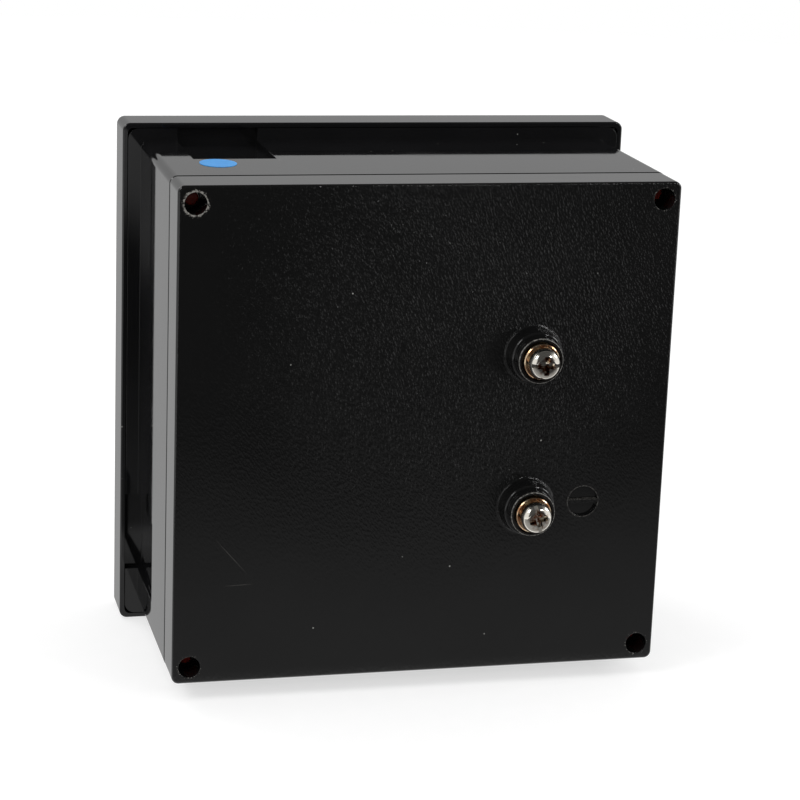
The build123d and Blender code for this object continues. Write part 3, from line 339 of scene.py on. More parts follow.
# The movement's frame and magnets: a zinc die casting that carries a ring yoke, two
# cast magnets and two pole shoes, all held round a fixed core by screws and glue.
zinc, tree = start("die_cast_zinc")
place = add(tree, "TexCoord").outputs["Object"]
flow = add(
    tree, "TexNoise", {"Scale": 1 / (5 * MM), "Detail": 5.0, "Distortion": 1.2},
    {"Vector": place},
)
pits = add(tree, "TexNoise", {"Scale": 1 / (0.35 * MM), "Detail": 2.0}, {"Vector": place})
colour = add(
    tree, "Mix", {"data_type": "RGBA", 6: linear("#a3a4a6"), 7: linear("#bdbdbd")},
    {0: flow.outputs[0]},
)
rough = add(tree, "MapRange", {1: 0.3, 2: 0.7, 3: 0.38, 4: 0.55}, {0: flow.outputs[0]})
skin = add(tree, "Bump", {"Strength": 0.3, "Distance": 0.02 * MM}, {"Height": pits.outputs[0]})
shader = add(
    tree, "BsdfPrincipled", {"Metallic": 1.0},
    {"Base Color": colour.outputs[2], "Roughness": rough.outputs[0], "Normal": skin.outputs[0]},
)
add(tree, "OutputMaterial", {}, {"Surface": shader.outputs[0]})
dress(zinc, "movement_frame")
dress(plated_steel, "frame_screws", "yoke_screws")

# Turned and plated soft iron: grey, with rings left by the lathe.
iron, tree = start("turned_soft_iron")
place = add(tree, "TexCoord").outputs["Object"]
rings = add(
    tree, "TexWave",
    {"wave_type": "BANDS", "bands_direction": "Y", "Scale": 1 / (2.2 * MM), "Distortion": 0.6},
    {"Vector": place},
)
stain = add(tree, "TexNoise", {"Scale": 1 / (6 * MM), "Detail": 4.0}, {"Vector": place})
colour = add(
    tree, "Mix", {"data_type": "RGBA", 6: linear("#86888b"), 7: linear("#a2a19e")},
    {0: stain.outputs[0]},
)
skin = add(tree, "Bump", {"Strength": 0.15, "Distance": 0.02 * MM}, {"Height": rings.outputs[0]})
shader = add(
    tree, "BsdfPrincipled", {"Metallic": 1.0, "Roughness": 0.36},
    {"Base Color": colour.outputs[2], "Normal": skin.outputs[0]},
)
add(tree, "OutputMaterial", {}, {"Surface": shader.outputs[0]})
dress(iron, "yoke_ring", "pole_shoe_upper", "pole_shoe_lower", "iron_core")

# Cast magnet alloy: dark grey, coarse, with bright worn grains.
alnico, tree = start("sand_cast_magnet_alloy")
place = add(tree, "TexCoord").outputs["Object"]
crust = add(tree, "TexNoise", {"Scale": 1 / (0.9 * MM), "Detail": 6.0}, {"Vector": place})
colour = add(
    tree, "Mix", {"data_type": "RGBA", 6: linear("#55565a"), 7: linear("#85868a")},
    {0: crust.outputs[0]},
)
rough = add(tree, "MapRange", {1: 0.3, 2: 0.7, 3: 0.7, 4: 0.5}, {0: crust.outputs[0]})
skin = add(tree, "Bump", {"Strength": 0.6, "Distance": 0.06 * MM}, {"Height": crust.outputs[0]})
shader = add(
    tree, "BsdfPrincipled", {"Metallic": 0.9},
    {"Base Color": colour.outputs[2], "Roughness": rough.outputs[0], "Normal": skin.outputs[0]},
)
add(tree, "OutputMaterial", {}, {"Surface": shader.outputs[0]})
dress(alnico, "magnet_upper", "magnet_lower")

# Turned brass: warm yellow, with a thin brown tarnish that lies unevenly.
brass, tree = start("turned_brass")
place = add(tree, "TexCoord").outputs["Object"]
tarnish = add(tree, "TexNoise", {"Scale": 1 / (1.6 * MM), "Detail": 4.0}, {"Vector": place})
turned = add(
    tree, "TexWave",
    {"wave_type": "BANDS", "bands_direction": "Y", "Scale": 1 / (1.2 * MM), "Distortion": 0.4},
    {"Vector": place},
)
colour = add(
    tree, "Mix", {"data_type": "RGBA", 6: linear("#a07c3c"), 7: linear("#cfae6a")},
    {0: tarnish.outputs[0]},
)
rough = add(tree, "MapRange", {1: 0.3, 2: 0.7, 3: 0.38, 4: 0.24}, {0: tarnish.outputs[0]})
skin = add(tree, "Bump", {"Strength": 0.12, "Distance": 0.02 * MM}, {"Height": turned.outputs[0]})
shader = add(
    tree, "BsdfPrincipled", {"Metallic": 1.0},
    {"Base Color": colour.outputs[2], "Roughness": rough.outputs[0], "Normal": skin.outputs[0]},
)
add(tree, "OutputMaterial", {}, {"Surface": shader.outputs[0]})
dress(brass, "core_strap", "bridge_posts")

# The front bridge: stamped from aluminium sheet and screwed to two brass posts. It
# holds the front jewel screw, which is locked by a thin nut.
sheet_metal, tree = start("stamped_aluminium")
place = add(tree, "TexCoord").outputs["Object"]
rolled = add(tree, "Mapping", {"Scale": (1.0, 1.0, 14.0)}, {"Vector": place})
lines = add(tree, "TexNoise", {"Scale": 1 / (6 * MM), "Detail": 5.0}, {"Vector": rolled.outputs[0]})
colour = add(
    tree, "Mix", {"data_type": "RGBA", 6: linear("#c3c4c6"), 7: linear("#dadadb")},
    {0: lines.outputs[0]},
)
rough = add(tree, "MapRange", {1: 0.3, 2: 0.7, 3: 0.26, 4: 0.42}, {0: lines.outputs[0]})
shader = add(
    tree, "BsdfPrincipled", {"Metallic": 1.0},
    {"Base Color": colour.outputs[2], "Roughness": rough.outputs[0]},
)
add(tree, "OutputMaterial", {}, {"Surface": shader.outputs[0]})
dress(sheet_metal, "front_bridge")
dress(plated_steel, "bridge_screws")
dress(brass, "jewel_screw_front", "jewel_screw_rear", "jewel_nut")

# The moving coil: fine enamelled wire on a former folded from aluminium sheet. Two
# staff halves are cemented to it and turn in the jewels.
dress(sheet_metal, "coil_former")

# Enamelled copper wire of 0.08 mm is too fine to show, so its turns are drawn 0.25 mm
# apart: red brown, with a painted highlight along each turn and painted shade between the turns.
wire, tree = start("enamelled_copper_wire")
place = add(tree, "TexCoord").outputs["Object"]
wound = add(tree, "Mapping", {"Rotation": (0, math.radians(45), 0)}, {"Vector": place})
turns = add(
    tree, "TexWave",
    {"wave_type": "BANDS", "bands_direction": "X", "Scale": 0.314 / (0.25 * MM), "Distortion": 0.3},
    {"Vector": wound.outputs[0]},
)
# The colour bands are painted light: lighter along each turn as a highlight, darker between the
# turns as shade.
colour = add(
    tree, "Mix", {"data_type": "RGBA", 6: linear("#5a2412"), 7: linear("#b5602f")},
    {0: turns.outputs[0]},
)
skin = add(tree, "Bump", {"Strength": 0.6, "Distance": 0.08 * MM}, {"Height": turns.outputs[0]})
shader = add(
    tree, "BsdfPrincipled", {"Metallic": 0.6, "Roughness": 0.3},
    {"Base Color": colour.outputs[2], "Normal": skin.outputs[0]},
)
add(tree, "OutputMaterial", {}, {"Surface": shader.outputs[0]})
dress(wire, "coil_winding")

# Ground and hardened steel: dark and bright, with fine marks along the rod.
ground_steel, tree = start("ground_hardened_steel")
place = add(tree, "TexCoord").outputs["Object"]
marks = add(tree, "TexNoise", {"Scale": 1 / (0.5 * MM), "Detail": 3.0}, {"Vector": place})
colour = add(
    tree, "Mix", {"data_type": "RGBA", 6: linear("#8a8d92"), 7: linear("#b4b6b9")},
    {0: marks.outputs[0]},
)
rough = add(tree, "MapRange", {1: 0.3, 2: 0.7, 3: 0.15, 4: 0.3}, {0: marks.outputs[0]})
shader = add(
    tree, "BsdfPrincipled", {"Metallic": 1.0},
    {"Base Color": colour.outputs[2], "Roughness": rough.outputs[0]},
)
add(tree, "OutputMaterial", {}, {"Surface": shader.outputs[0]})
dress(ground_steel, "staff_front", "staff_rear")

# The pointer: drawn from thin aluminium tube and sheet, lacquered black, pressed on the
# front staff and balanced by three small weights.
lacquered, tree = start("black_lacquered_aluminium")
place = add(tree, "TexCoord").outputs["Object"]
brushed_on = add(tree, "TexNoise", {"Scale": 1 / (2 * MM), "Detail": 4.0}, {"Vector": place})
colour = add(
    tree, "Mix", {"data_type": "RGBA", 6: linear("#0f0f10"), 7: linear("#222223")},
    {0: brushed_on.outputs[0]},
)
rough = add(tree, "MapRange", {1: 0.3, 2: 0.7, 3: 0.35, 4: 0.55}, {0: brushed_on.outputs[0]})
shader = add(
    tree, "BsdfPrincipled", {"IOR": 1.5},
    {"Base Color": colour.outputs[2], "Roughness": rough.outputs[0]},
)
add(tree, "OutputMaterial", {}, {"Surface": shader.outputs[0]})
dress(lacquered, "pointer")
dress(brass, "balance_weights", "spring_collets", "rear_spring_stud")

# The hairsprings: rolled phosphor bronze strip, wound as spirals and soldered to their
# collets. They bring the pointer back and lead the current to the coil.
bronze, tree = start("rolled_phosphor_bronze")
place = add(tree, "TexCoord").outputs["Object"]
heat = add(tree, "TexNoise", {"Scale": 1 / (2.5 * MM), "Detail": 3.0}, {"Vector": place})
colour = add(
    tree, "Mix", {"data_type": "RGBA", 6: linear("#9c6434"), 7: linear("#cf9a5e")},
    {0: heat.outputs[0]},
)
rough = add(tree, "MapRange", {1: 0.3, 2: 0.7, 3: 0.22, 4: 0.36}, {0: heat.outputs[0]})
shader = add(
    tree, "BsdfPrincipled", {"Metallic": 1.0},
    {"Base Color": colour.outputs[2], "Roughness": rough.outputs[0]},
)
add(tree, "OutputMaterial", {}, {"Surface": shader.outputs[0]})
dress(bronze, "hairspring_front", "hairspring_rear")

# The zero adjuster: a slotted phenolic button in the mask, held behind by a steel clip.
# Its eccentric pin moves a forked bronze lever that shifts the front hairspring.
dress(phenolic, "zero_adjuster")
dress(ground_steel, "adjuster_clip")
dress(bronze, "zero_lever")

# The board behind the deck: punched paper laminate on four posts, with two series
# resistors and a rectifier, and red wires to the coil and the terminals.
laminate, tree = start("punched_paper_laminate")
place = add(tree, "TexCoord").outputs["Object"]
fibres = add(
    tree, "TexNoise", {"Scale": 1 / (1.5 * MM), "Detail": 6.0, "Distortion": 0.8},
    {"Vector": place},
)
colour = add(
    tree, "Mix", {"data_type": "RGBA", 6: linear("#8a5f2c"), 7: linear("#b98a4c")},
    {0: fibres.outputs[0]},
)
skin = add(tree, "Bump", {"Strength": 0.2, "Distance": 0.02 * MM}, {"Height": fibres.outputs[0]})
shader = add(
    tree, "BsdfPrincipled", {"Roughness": 0.5, "IOR": 1.53},
    {"Base Color": colour.outputs[2], "Normal": skin.outputs[0]},
)
add(tree, "OutputMaterial", {}, {"Surface": shader.outputs[0]})
dress(laminate, "circuit_board")
dress(plated_steel, "board_screws")

# Dipped ceramic enamel: green grey, glossy, thicker in some places.
dipped, tree = start("dipped_resistor_enamel")
place = add(tree, "TexCoord").outputs["Object"]
runs = add(tree, "TexNoise", {"Scale": 1 / (2.2 * MM), "Detail": 2.0}, {"Vector": place})
colour = add(
    tree, "Mix", {"data_type": "RGBA", 6: linear("#4c5c47"), 7: linear("#6f7f66")},
    {0: runs.outputs[0]},
)
skin = add(tree, "Bump", {"Strength": 0.3, "Distance": 0.08 * MM}, {"Height": runs.outputs[0]})
shader = add(
    tree, "BsdfPrincipled", {"Roughness": 0.25, "IOR": 1.52},
    {"Base Color": colour.outputs[2], "Normal": skin.outputs[0]},
)
add(tree, "OutputMaterial", {}, {"Surface": shader.outputs[0]})
dress(dipped, "resistor_left", "resistor_right")
dress(epoxy, "rectifier")

# Extruded PVC insulation: red and soft looking, a little dusty.
insulation, tree = start("extruded_pvc_insulation")
place = add(tree, "TexCoord").outputs["Object"]
scuffs = add(tree, "TexNoise", {"Scale": 1 / (2.5 * MM), "Detail": 4.0}, {"Vector": place})
colour = add(
    tree, "Mix", {"data_type": "RGBA", 6: linear("#8e1f18"), 7: linear("#b33327")},
    {0: scuffs.outputs[0]},
)
rough = add(tree, "MapRange", {1: 0.3, 2: 0.7, 3: 0.38, 4: 0.55}, {0: scuffs.outputs[0]})
shader = add(
    tree, "BsdfPrincipled", {"IOR": 1.53},
    {"Base Color": colour.outputs[2], "Roughness": rough.outputs[0]},
)
add(tree, "OutputMaterial", {}, {"Surface": shader.outputs[0]})
dress(insulation, "coil_leads", "lead_upper", "lead_lower")

# The rear cover: a tray of black phenolic that closes the case, with two stepped bosses,
# four screw tubes and a blanked recess. Its rear face has a moulded grain.
HOLE_AT = 51.85 * MM
HOLE_RADIUS = 2.45 * MM
TERMINAL_X = -23.5 * MM
TERMINAL_Z = 17.5 * MM
BOSS_FACE = 60.9 * MM
REAR_FACE = 54.5 * MM
BLANK_X = -37.0 * MM
BLANK_Z = -17.0 * MM
BLANK_RADIUS = 3.5 * MM
BAR_TOP = 0.42 * MM
BOSS_RIM_START = 4.82 * MM
BOSS_RIM_FULL = 4.95 * MM
DEEPEST_GRAIN = (-2 * MM, REAR_FACE, 21 * MM)
# Two faint scratches at the lower left: where each lies, its slope and half its length.
SCRATCHES = ((41.2, -33.2, 2, 3.6), (42.8, -26.7, -49, 5.8))


def axis_distance(tree, x, z, axis_x, axis_z):
    """How far a point is from an axis that runs along Y."""
    off_x = add(tree, "Math", {"operation": "SUBTRACT", 1: axis_x}, {0: x})
    off_z = add(tree, "Math", {"operation": "SUBTRACT", 1: axis_z}, {0: z})
    way = add(tree, "CombineXYZ", {}, {"X": off_x.outputs[0], "Z": off_z.outputs[0]})
    return add(tree, "VectorMath", {"operation": "LENGTH"}, {0: way.outputs[0]}).outputs["Value"]


# Grained phenolic: smooth and glossy on its sides, pebbled on the rear face, where the
# grain throws short pale glints, and worn pale round its holes and boss rims. Pale painted
# highlights lie on the rim of the blanked hole and along the top of its bar.
grained, tree = start("grained_phenolic")
coordinates = add(tree, "TexCoord")
place = coordinates.outputs["Object"]
way = add(tree, "SeparateXYZ", {}, {0: coordinates.outputs["Normal"]})
rearward = add(tree, "MapRange", {1: 0.6, 2: 0.9}, {0: way.outputs["Y"]})
at = add(tree, "SeparateXYZ", {}, {0: place})
on_face = add(
    tree, "MapRange", {1: REAR_FACE - 0.3 * MM, 2: REAR_FACE - 0.05 * MM},
    {0: at.outputs["Y"]},
)
below_boss = add(
    tree, "MapRange", {1: REAR_FACE + 0.2 * MM, 2: REAR_FACE + 0.6 * MM, 3: 1.0, 4: 0.0},
    {0: at.outputs["Y"]},
)
face = add(tree, "Math", {"operation": "MULTIPLY"}, {0: rearward.outputs[0], 1: on_face.outputs[0]})
face = add(tree, "Math", {"operation": "MULTIPLY"}, {0: face.outputs[0], 1: below_boss.outputs[0]})
# The grain's strokes are about 1 mm long and 0.4 mm wide, and lean to one side.
leaning = add(tree, "Mapping", {"Rotation": (0, math.radians(-25), 0)}, {"Vector": place})
stroke = add(tree, "Mapping", {"Scale": (2.4, 1.0, 1.0)}, {"Vector": leaning.outputs[0]})
pebbles = add(
    tree, "TexVoronoi", {"feature": "SMOOTH_F1", "Scale": 1 / (1.0 * MM), "Smoothness": 0.4},
    {"Vector": stroke.outputs[0]},
)
ridges = add(
    tree, "TexNoise", {"Scale": 1 / (0.7 * MM), "Detail": 2.0},
    {"Vector": stroke.outputs[0]},
)
relief = add(
    tree, "Math", {"operation": "ADD"},
    {0: pebbles.outputs["Distance"], 1: ridges.outputs[0]},
)
# The grain is deepest above the middle and fades outwards, most of all towards the foot.
from_deepest = add(tree, "VectorMath", {"operation": "DISTANCE", 1: DEEPEST_GRAIN}, {0: place})
depth = add(
    tree, "MapRange", {"interpolation_type": "SMOOTHSTEP", 1: 20 * MM, 2: 68 * MM, 3: 1.0, 4: 0.24},
    {0: from_deepest.outputs["Value"]},
)
depth = add(tree, "Math", {"operation": "MULTIPLY"}, {0: depth.outputs[0], 1: face.outputs[0]})
amount = add(tree, "Math", {"operation": "MULTIPLY"}, {0: relief.outputs[0], 1: depth.outputs[0]})
# The mask of the worn rims: rings round the four holes, and the edge of each boss.
side_x = add(tree, "Math", {"operation": "ABSOLUTE"}, {0: at.outputs["X"]})
side_z = add(tree, "Math", {"operation": "ABSOLUTE"}, {0: at.outputs["Z"]})
hole_far = axis_distance(tree, side_x.outputs[0], side_z.outputs[0], HOLE_AT, HOLE_AT)
boss_far = axis_distance(tree, at.outputs["X"], side_z.outputs[0], TERMINAL_X, TERMINAL_Z)
ragged = add(tree, "TexNoise", {"Scale": 1 / (0.32 * MM), "Detail": 3.0}, {"Vector": place})
hole_rim = add(
    tree, "MapRange", {1: HOLE_RADIUS + 0.1 * MM, 2: HOLE_RADIUS + 1.1 * MM, 3: 1.0, 4: 0.0},
    {0: hole_far},
)
hole_worn = add(
    tree, "Math", {"operation": "MULTIPLY"},
    {0: hole_rim.outputs[0], 1: face.outputs[0]},
)
# The hole at the upper left of the photograph is the most worn of the four.
corner_sum = add(tree, "Math", {"operation": "ADD"}, {0: at.outputs["X"], 1: at.outputs["Z"]})
most_worn = add(tree, "MapRange", {1: 0.0, 2: 100 * MM, 3: 0.5, 4: 1.0}, {0: corner_sum.outputs[0]})
hole_worn = add(
    tree, "Math", {"operation": "MULTIPLY"},
    {0: hole_worn.outputs[0], 1: most_worn.outputs[0]},
)
hole_worn = add(
    tree, "Math", {"operation": "MULTIPLY_ADD", 1: 2.2},
    {0: ragged.outputs[0], 2: hole_worn.outputs[0]},
)
hole_worn = add(tree, "MapRange", {1: 1.78, 2: 2.1}, {0: hole_worn.outputs[0]})
boss_top = add(
    tree, "MapRange", {1: BOSS_FACE - 0.3 * MM, 2: BOSS_FACE - 0.05 * MM},
    {0: at.outputs["Y"]},
)
boss_rim = add(
    tree, "MapRange", {1: BOSS_RIM_START, 2: BOSS_RIM_FULL, 3: 0.0, 4: 1.0},
    {0: boss_far},
)
boss_worn = add(
    tree, "Math", {"operation": "MULTIPLY"},
    {0: boss_top.outputs[0], 1: boss_rim.outputs[0]},
)
rag = add(tree, "MapRange", {1: 0.4, 2: 0.6, 3: 0.1, 4: 1.0}, {0: ragged.outputs[0]})
# The blanked hole: a pale painted highlight rings its rim, and another lies along the
# top of its bar.
blank_far = axis_distance(tree, at.outputs["X"], at.outputs["Z"], BLANK_X, BLANK_Z)
from_rim = add(tree, "Math", {"operation": "SUBTRACT", 1: BLANK_RADIUS + 0.1 * MM}, {0: blank_far})
from_rim = add(tree, "Math", {"operation": "ABSOLUTE"}, {0: from_rim.outputs[0]})
# A painted highlight: a pale ring on the rim of the blanked hole.
blank_rim_highlight = add(
    tree, "MapRange", {1: 0.05 * MM, 2: 0.2 * MM, 3: 0.25, 4: 0.0},
    {0: from_rim.outputs[0]},
)
blank_highlight = add(
    tree, "Math", {"operation": "MULTIPLY"},
    {0: blank_rim_highlight.outputs[0], 1: face.outputs[0]},
)
# Pale marks: the worn boss rims, with the painted highlights of the blanked hole.
thin_wear_and_highlight = add(
    tree, "Math", {"operation": "MAXIMUM"},
    {0: boss_worn.outputs[0], 1: blank_highlight.outputs[0]},
)
in_blank = add(
    tree, "MapRange", {1: BLANK_RADIUS - 0.2 * MM, 2: BLANK_RADIUS, 3: 1.0, 4: 0.0},
    {0: blank_far},
)
over_blank = add(tree, "Math", {"operation": "SUBTRACT", 1: BLANK_Z}, {0: at.outputs["Z"]})
bar_top = add(tree, "Math", {"operation": "ADD", 1: -BAR_TOP}, {0: over_blank.outputs[0]})
bar_top = add(tree, "Math", {"operation": "ABSOLUTE"}, {0: bar_top.outputs[0]})
# A painted highlight: a pale line along the top edge of the bar across the blanked hole.
bar_top_highlight = add(
    tree, "MapRange", {1: 0.04 * MM, 2: 0.16 * MM, 3: 0.3, 4: 0.0},
    {0: bar_top.outputs[0]},
)
bar_top_highlight = add(
    tree, "Math", {"operation": "MULTIPLY"},
    {0: bar_top_highlight.outputs[0], 1: in_blank.outputs[0]},
)
thin_wear_and_highlight = add(
    tree, "Math", {"operation": "MAXIMUM"},
    {0: thin_wear_and_highlight.outputs[0], 1: bar_top_highlight.outputs[0]},
)
thin_wear_and_highlight = add(
    tree, "Math", {"operation": "MULTIPLY"},
    {0: thin_wear_and_highlight.outputs[0], 1: rag.outputs[0]},
)
# All pale marks: real wear round the holes and bosses, and the painted highlights of the blanked
# hole.
wear_and_highlight = add(
    tree, "Math", {"operation": "MAXIMUM"},
    {0: hole_worn.outputs[0], 1: thin_wear_and_highlight.outputs[0]},
)
for across, up, slope, reach in SCRATCHES:
    along = add(
        tree, "Mapping",
        {
            "vector_type": "TEXTURE",
            "Location": (across * MM, REAR_FACE, up * MM),
            "Rotation": (0, math.radians(slope), 0),
        },
        {"Vector": place},
    )
    line = add(tree, "VectorMath", {"operation": "ABSOLUTE"}, {0: along.outputs[0]})
    line = add(tree, "SeparateXYZ", {}, {0: line.outputs[0]})
    thin = add(
        tree, "MapRange", {1: 0.02 * MM, 2: 0.13 * MM, 3: 0.16, 4: 0.0},
        {0: line.outputs["Z"]},
    )
    ends = add(
        tree, "MapRange", {1: 0.2 * reach * MM, 2: reach * MM, 3: 1.0, 4: 0.0},
        {0: line.outputs["X"]},
    )
    scratch = add(tree, "Math", {"operation": "MULTIPLY"}, {0: thin.outputs[0], 1: ends.outputs[0]})
    scratch = add(
        tree, "Math", {"operation": "MULTIPLY"},
        {0: scratch.outputs[0], 1: face.outputs[0]},
    )
    wear_and_highlight = add(tree, "Math", {"operation": "MAXIMUM"}, {0: wear_and_highlight.outputs[0], 1: scratch.outputs[0]})
handled = add(tree, "TexNoise", {"Scale": 1 / (16 * MM), "Detail": 4.0}, {"Vector": place})
dust = add(tree, "TexVoronoi", {"Scale": 1 / (2.2 * MM)}, {"Vector": place})
dust_chance = add(tree, "SeparateColor", {}, {0: dust.outputs["Color"]})
dust_kept = add(tree, "Math", {"operation": "GREATER_THAN", 1: 0.97}, {0: dust_chance.outputs[0]})
dust_size = add(tree, "MapRange", {1: 0.05, 2: 0.1, 3: 1.0, 4: 0.0}, {0: dust.outputs["Distance"]})
dusty = add(
    tree, "Math", {"operation": "MULTIPLY"},
    {0: dust_size.outputs[0], 1: dust_kept.outputs[0]},
)
body = add(
    tree, "Mix", {"data_type": "RGBA", 6: linear("#0d0d0d"), 7: linear("#141414")},
    {0: handled.outputs[0]},
)
crumbs = add(tree, "TexNoise", {"Scale": 1 / (0.35 * MM), "Detail": 2.0}, {"Vector": place})
# The pale colour stands for real wear and for the painted highlights of the blanked hole.
pale_wear_and_highlight = add(
    tree, "Mix", {"data_type": "RGBA", 6: linear("#2a2927"), 7: linear("#b5b2ab")},
    {0: crumbs.outputs[0]},
)
rubbed_and_highlit = add(
    tree, "Mix", {"data_type": "RGBA"},
    {0: wear_and_highlight.outputs[0], 6: body.outputs[2], 7: pale_wear_and_highlight.outputs[2]},
)
colour = add(
    tree, "Mix", {"data_type": "RGBA", 7: linear("#9a9a96")},
    {0: dusty.outputs[0], 6: rubbed_and_highlit.outputs[2]},
)
smooth = add(tree, "MapRange", {1: 0.35, 2: 0.7, 3: 0.02, 4: 0.07}, {0: handled.outputs[0]})
rough = add(
    tree, "Mix", {"data_type": "FLOAT", 3: 0.06},
    {0: face.outputs[0], 2: smooth.outputs[0]},
)
rough = add(tree, "Mix", {"data_type": "FLOAT", 3: 0.6}, {0: wear_and_highlight.outputs[0], 2: rough.outputs[0]})
rounded = add(tree, "Bevel", {"samples": 4, "Radius": EDGE_RADIUS})
grain = add(
    tree, "Bump", {"Strength": 0.9, "Distance": 0.11 * MM},
    {"Height": amount.outputs[0], "Normal": rounded.outputs[0]},
)
shader = add(
    tree, "BsdfPrincipled", {"IOR": 1.5},
    {"Base Color": colour.outputs[2], "Roughness": rough.outputs[0], "Normal": grain.outputs[0]},
)
add(tree, "OutputMaterial", {}, {"Surface": shader.outputs[0]})
dress(grained, "rear_cover")

# The terminals: a turned brass bush in each boss, clamped by a nut over a tinned solder
# tag, and outside it a flat washer, a spring washer and a plated pan head screw.
dress(brass, "terminal_bush_upper", "terminal_bush_lower", "bush_nut_upper", "bush_nut_lower")

# Hot tinned brass: pale grey, runny, with softer reflections.
tinned, tree = start("hot_tinned_brass")
place = add(tree, "TexCoord").outputs["Object"]
puddle = add(tree, "TexNoise", {"Scale": 1 / (1.5 * MM), "Detail": 2.0}, {"Vector": place})
colour = add(
    tree, "Mix", {"data_type": "RGBA", 6: linear("#b4b3ae"), 7: linear("#d2d0ca")},
    {0: puddle.outputs[0]},
)
skin = add(tree, "Bump", {"Strength": 0.25, "Distance": 0.05 * MM}, {"Height": puddle.outputs[0]})
shader = add(
    tree, "BsdfPrincipled", {"Metallic": 1.0, "Roughness": 0.3},
    {"Base Color": colour.outputs[2], "Normal": skin.outputs[0]},
)
add(tree, "OutputMaterial", {}, {"Surface": shader.outputs[0]})
dress(tinned, "solder_tag_upper", "solder_tag_lower")

# Yellow passivated washers: gold, turning copper and brown in patches.
passivated, tree = start("yellow_passivated_steel")
place = add(tree, "TexCoord").outputs["Object"]
film = add(
    tree, "TexNoise", {"Scale": 1 / (1.3 * MM), "Detail": 3.0, "Distortion": 0.6},
    {"Vector": place},
)
warm = add(tree, "MapRange", {1: 0.35, 2: 0.65}, {0: film.outputs[0]})
colour = add(
    tree, "Mix", {"data_type": "RGBA", 6: linear("#b98258"), 7: linear("#e6d6b8")},
    {0: warm.outputs[0]},
)
rough = add(tree, "MapRange", {1: 0.3, 2: 0.7, 3: 0.14, 4: 0.26}, {0: film.outputs[0]})
shader = add(
    tree, "BsdfPrincipled", {"Metallic": 1.0},
    {"Base Color": colour.outputs[2], "Roughness": rough.outputs[0]},
)
add(tree, "OutputMaterial", {}, {"Surface": shader.outputs[0]})
dress(
    passivated,
    "flat_washer_upper", "spring_washer_upper", "flat_washer_lower", "spring_washer_lower",
)

# Nickel plate over brass: mirror bright and warm, with brown patches near the middle.
nickel, tree = start("nickel_plated_brass")
place = add(tree, "TexCoord").outputs["Object"]
at = add(tree, "SeparateXYZ", {}, {0: place})
height = add(tree, "Math", {"operation": "ABSOLUTE"}, {0: at.outputs["Z"]})
axis_far = axis_distance(tree, at.outputs["X"], height.outputs[0], TERMINAL_X, TERMINAL_Z)
middle = add(tree, "MapRange", {1: 1.5 * MM, 2: 2.6 * MM, 3: 1.0, 4: 0.0}, {0: axis_far})
patch = add(tree, "TexNoise", {"Scale": 1 / (1.1 * MM), "Detail": 3.0}, {"Vector": place})
patchy = add(tree, "MapRange", {1: 0.45, 2: 0.6}, {0: patch.outputs[0]})
patchy = add(tree, "Math", {"operation": "MULTIPLY"}, {0: patchy.outputs[0], 1: middle.outputs[0]})
colour = add(
    tree, "Mix", {"data_type": "RGBA", 6: linear("#f4efe5"), 7: linear("#8c5634")},
    {0: patchy.outputs[0]},
)
rough = add(tree, "MapRange", {1: 0.3, 2: 0.7, 3: 0.06, 4: 0.16}, {0: patch.outputs[0]})
shader = add(
    tree, "BsdfPrincipled", {"Metallic": 1.0},
    {"Base Color": colour.outputs[2], "Roughness": rough.outputs[0]},
)
add(tree, "OutputMaterial", {}, {"Surface": shader.outputs[0]})
dress(nickel, "terminal_screw_upper", "terminal_screw_lower")

# The case screws: four plated steel screws deep in the corner tubes of the rear cover,
# each sealed with a drop of red lacquer on its head.
dress(plated_steel, "case_screws")

# Brushed-on sealing lacquer: deep red and glossy, thin at its edges.
lacquer, tree = start("sealing_lacquer")
place = add(tree, "TexCoord").outputs["Object"]
pool = add(tree, "TexNoise", {"Scale": 1 / (0.9 * MM), "Detail": 3.0}, {"Vector": place})
colour = add(
    tree, "Mix", {"data_type": "RGBA", 6: linear("#2c0603"), 7: linear("#8e2210")},
    {0: pool.outputs[0]},
)
skin = add(tree, "Bump", {"Strength": 0.5, "Distance": 0.15 * MM}, {"Height": pool.outputs[0]})
shader = add(
    tree, "BsdfPrincipled", {"Roughness": 0.15, "IOR": 1.48},
    {"Base Color": colour.outputs[2], "Normal": skin.outputs[0]},
)
add(tree, "OutputMaterial", {}, {"Surface": shader.outputs[0]})
dress(lacquer, "seal_lacquer")

# The oval sticker: coated paper printed plain blue, cut to an oval and glued on the top
# wall of the case, near its left end in the photograph.
sticker, tree = start("printed_coated_paper")
place = add(tree, "TexCoord").outputs["Object"]
print_tone = add(tree, "TexNoise", {"Scale": 1 / (1.5 * MM), "Detail": 4.0}, {"Vector": place})
colour = add(
    tree, "Mix", {"data_type": "RGBA", 6: linear("#1c8fe6"), 7: linear("#45adf4")},
    {0: print_tone.outputs[0]},
)
paper = add(
    tree, "Bump", {"Strength": 0.2, "Distance": 0.02 * MM},
    {"Height": print_tone.outputs[0]},
)
shader = add(
    tree, "BsdfPrincipled", {"Roughness": 0.35, "IOR": 1.5},
    {"Base Color": colour.outputs[2], "Normal": paper.outputs[0]},
)
add(tree, "OutputMaterial", {}, {"Surface": shader.outputs[0]})
dress(sticker, "oval_label")

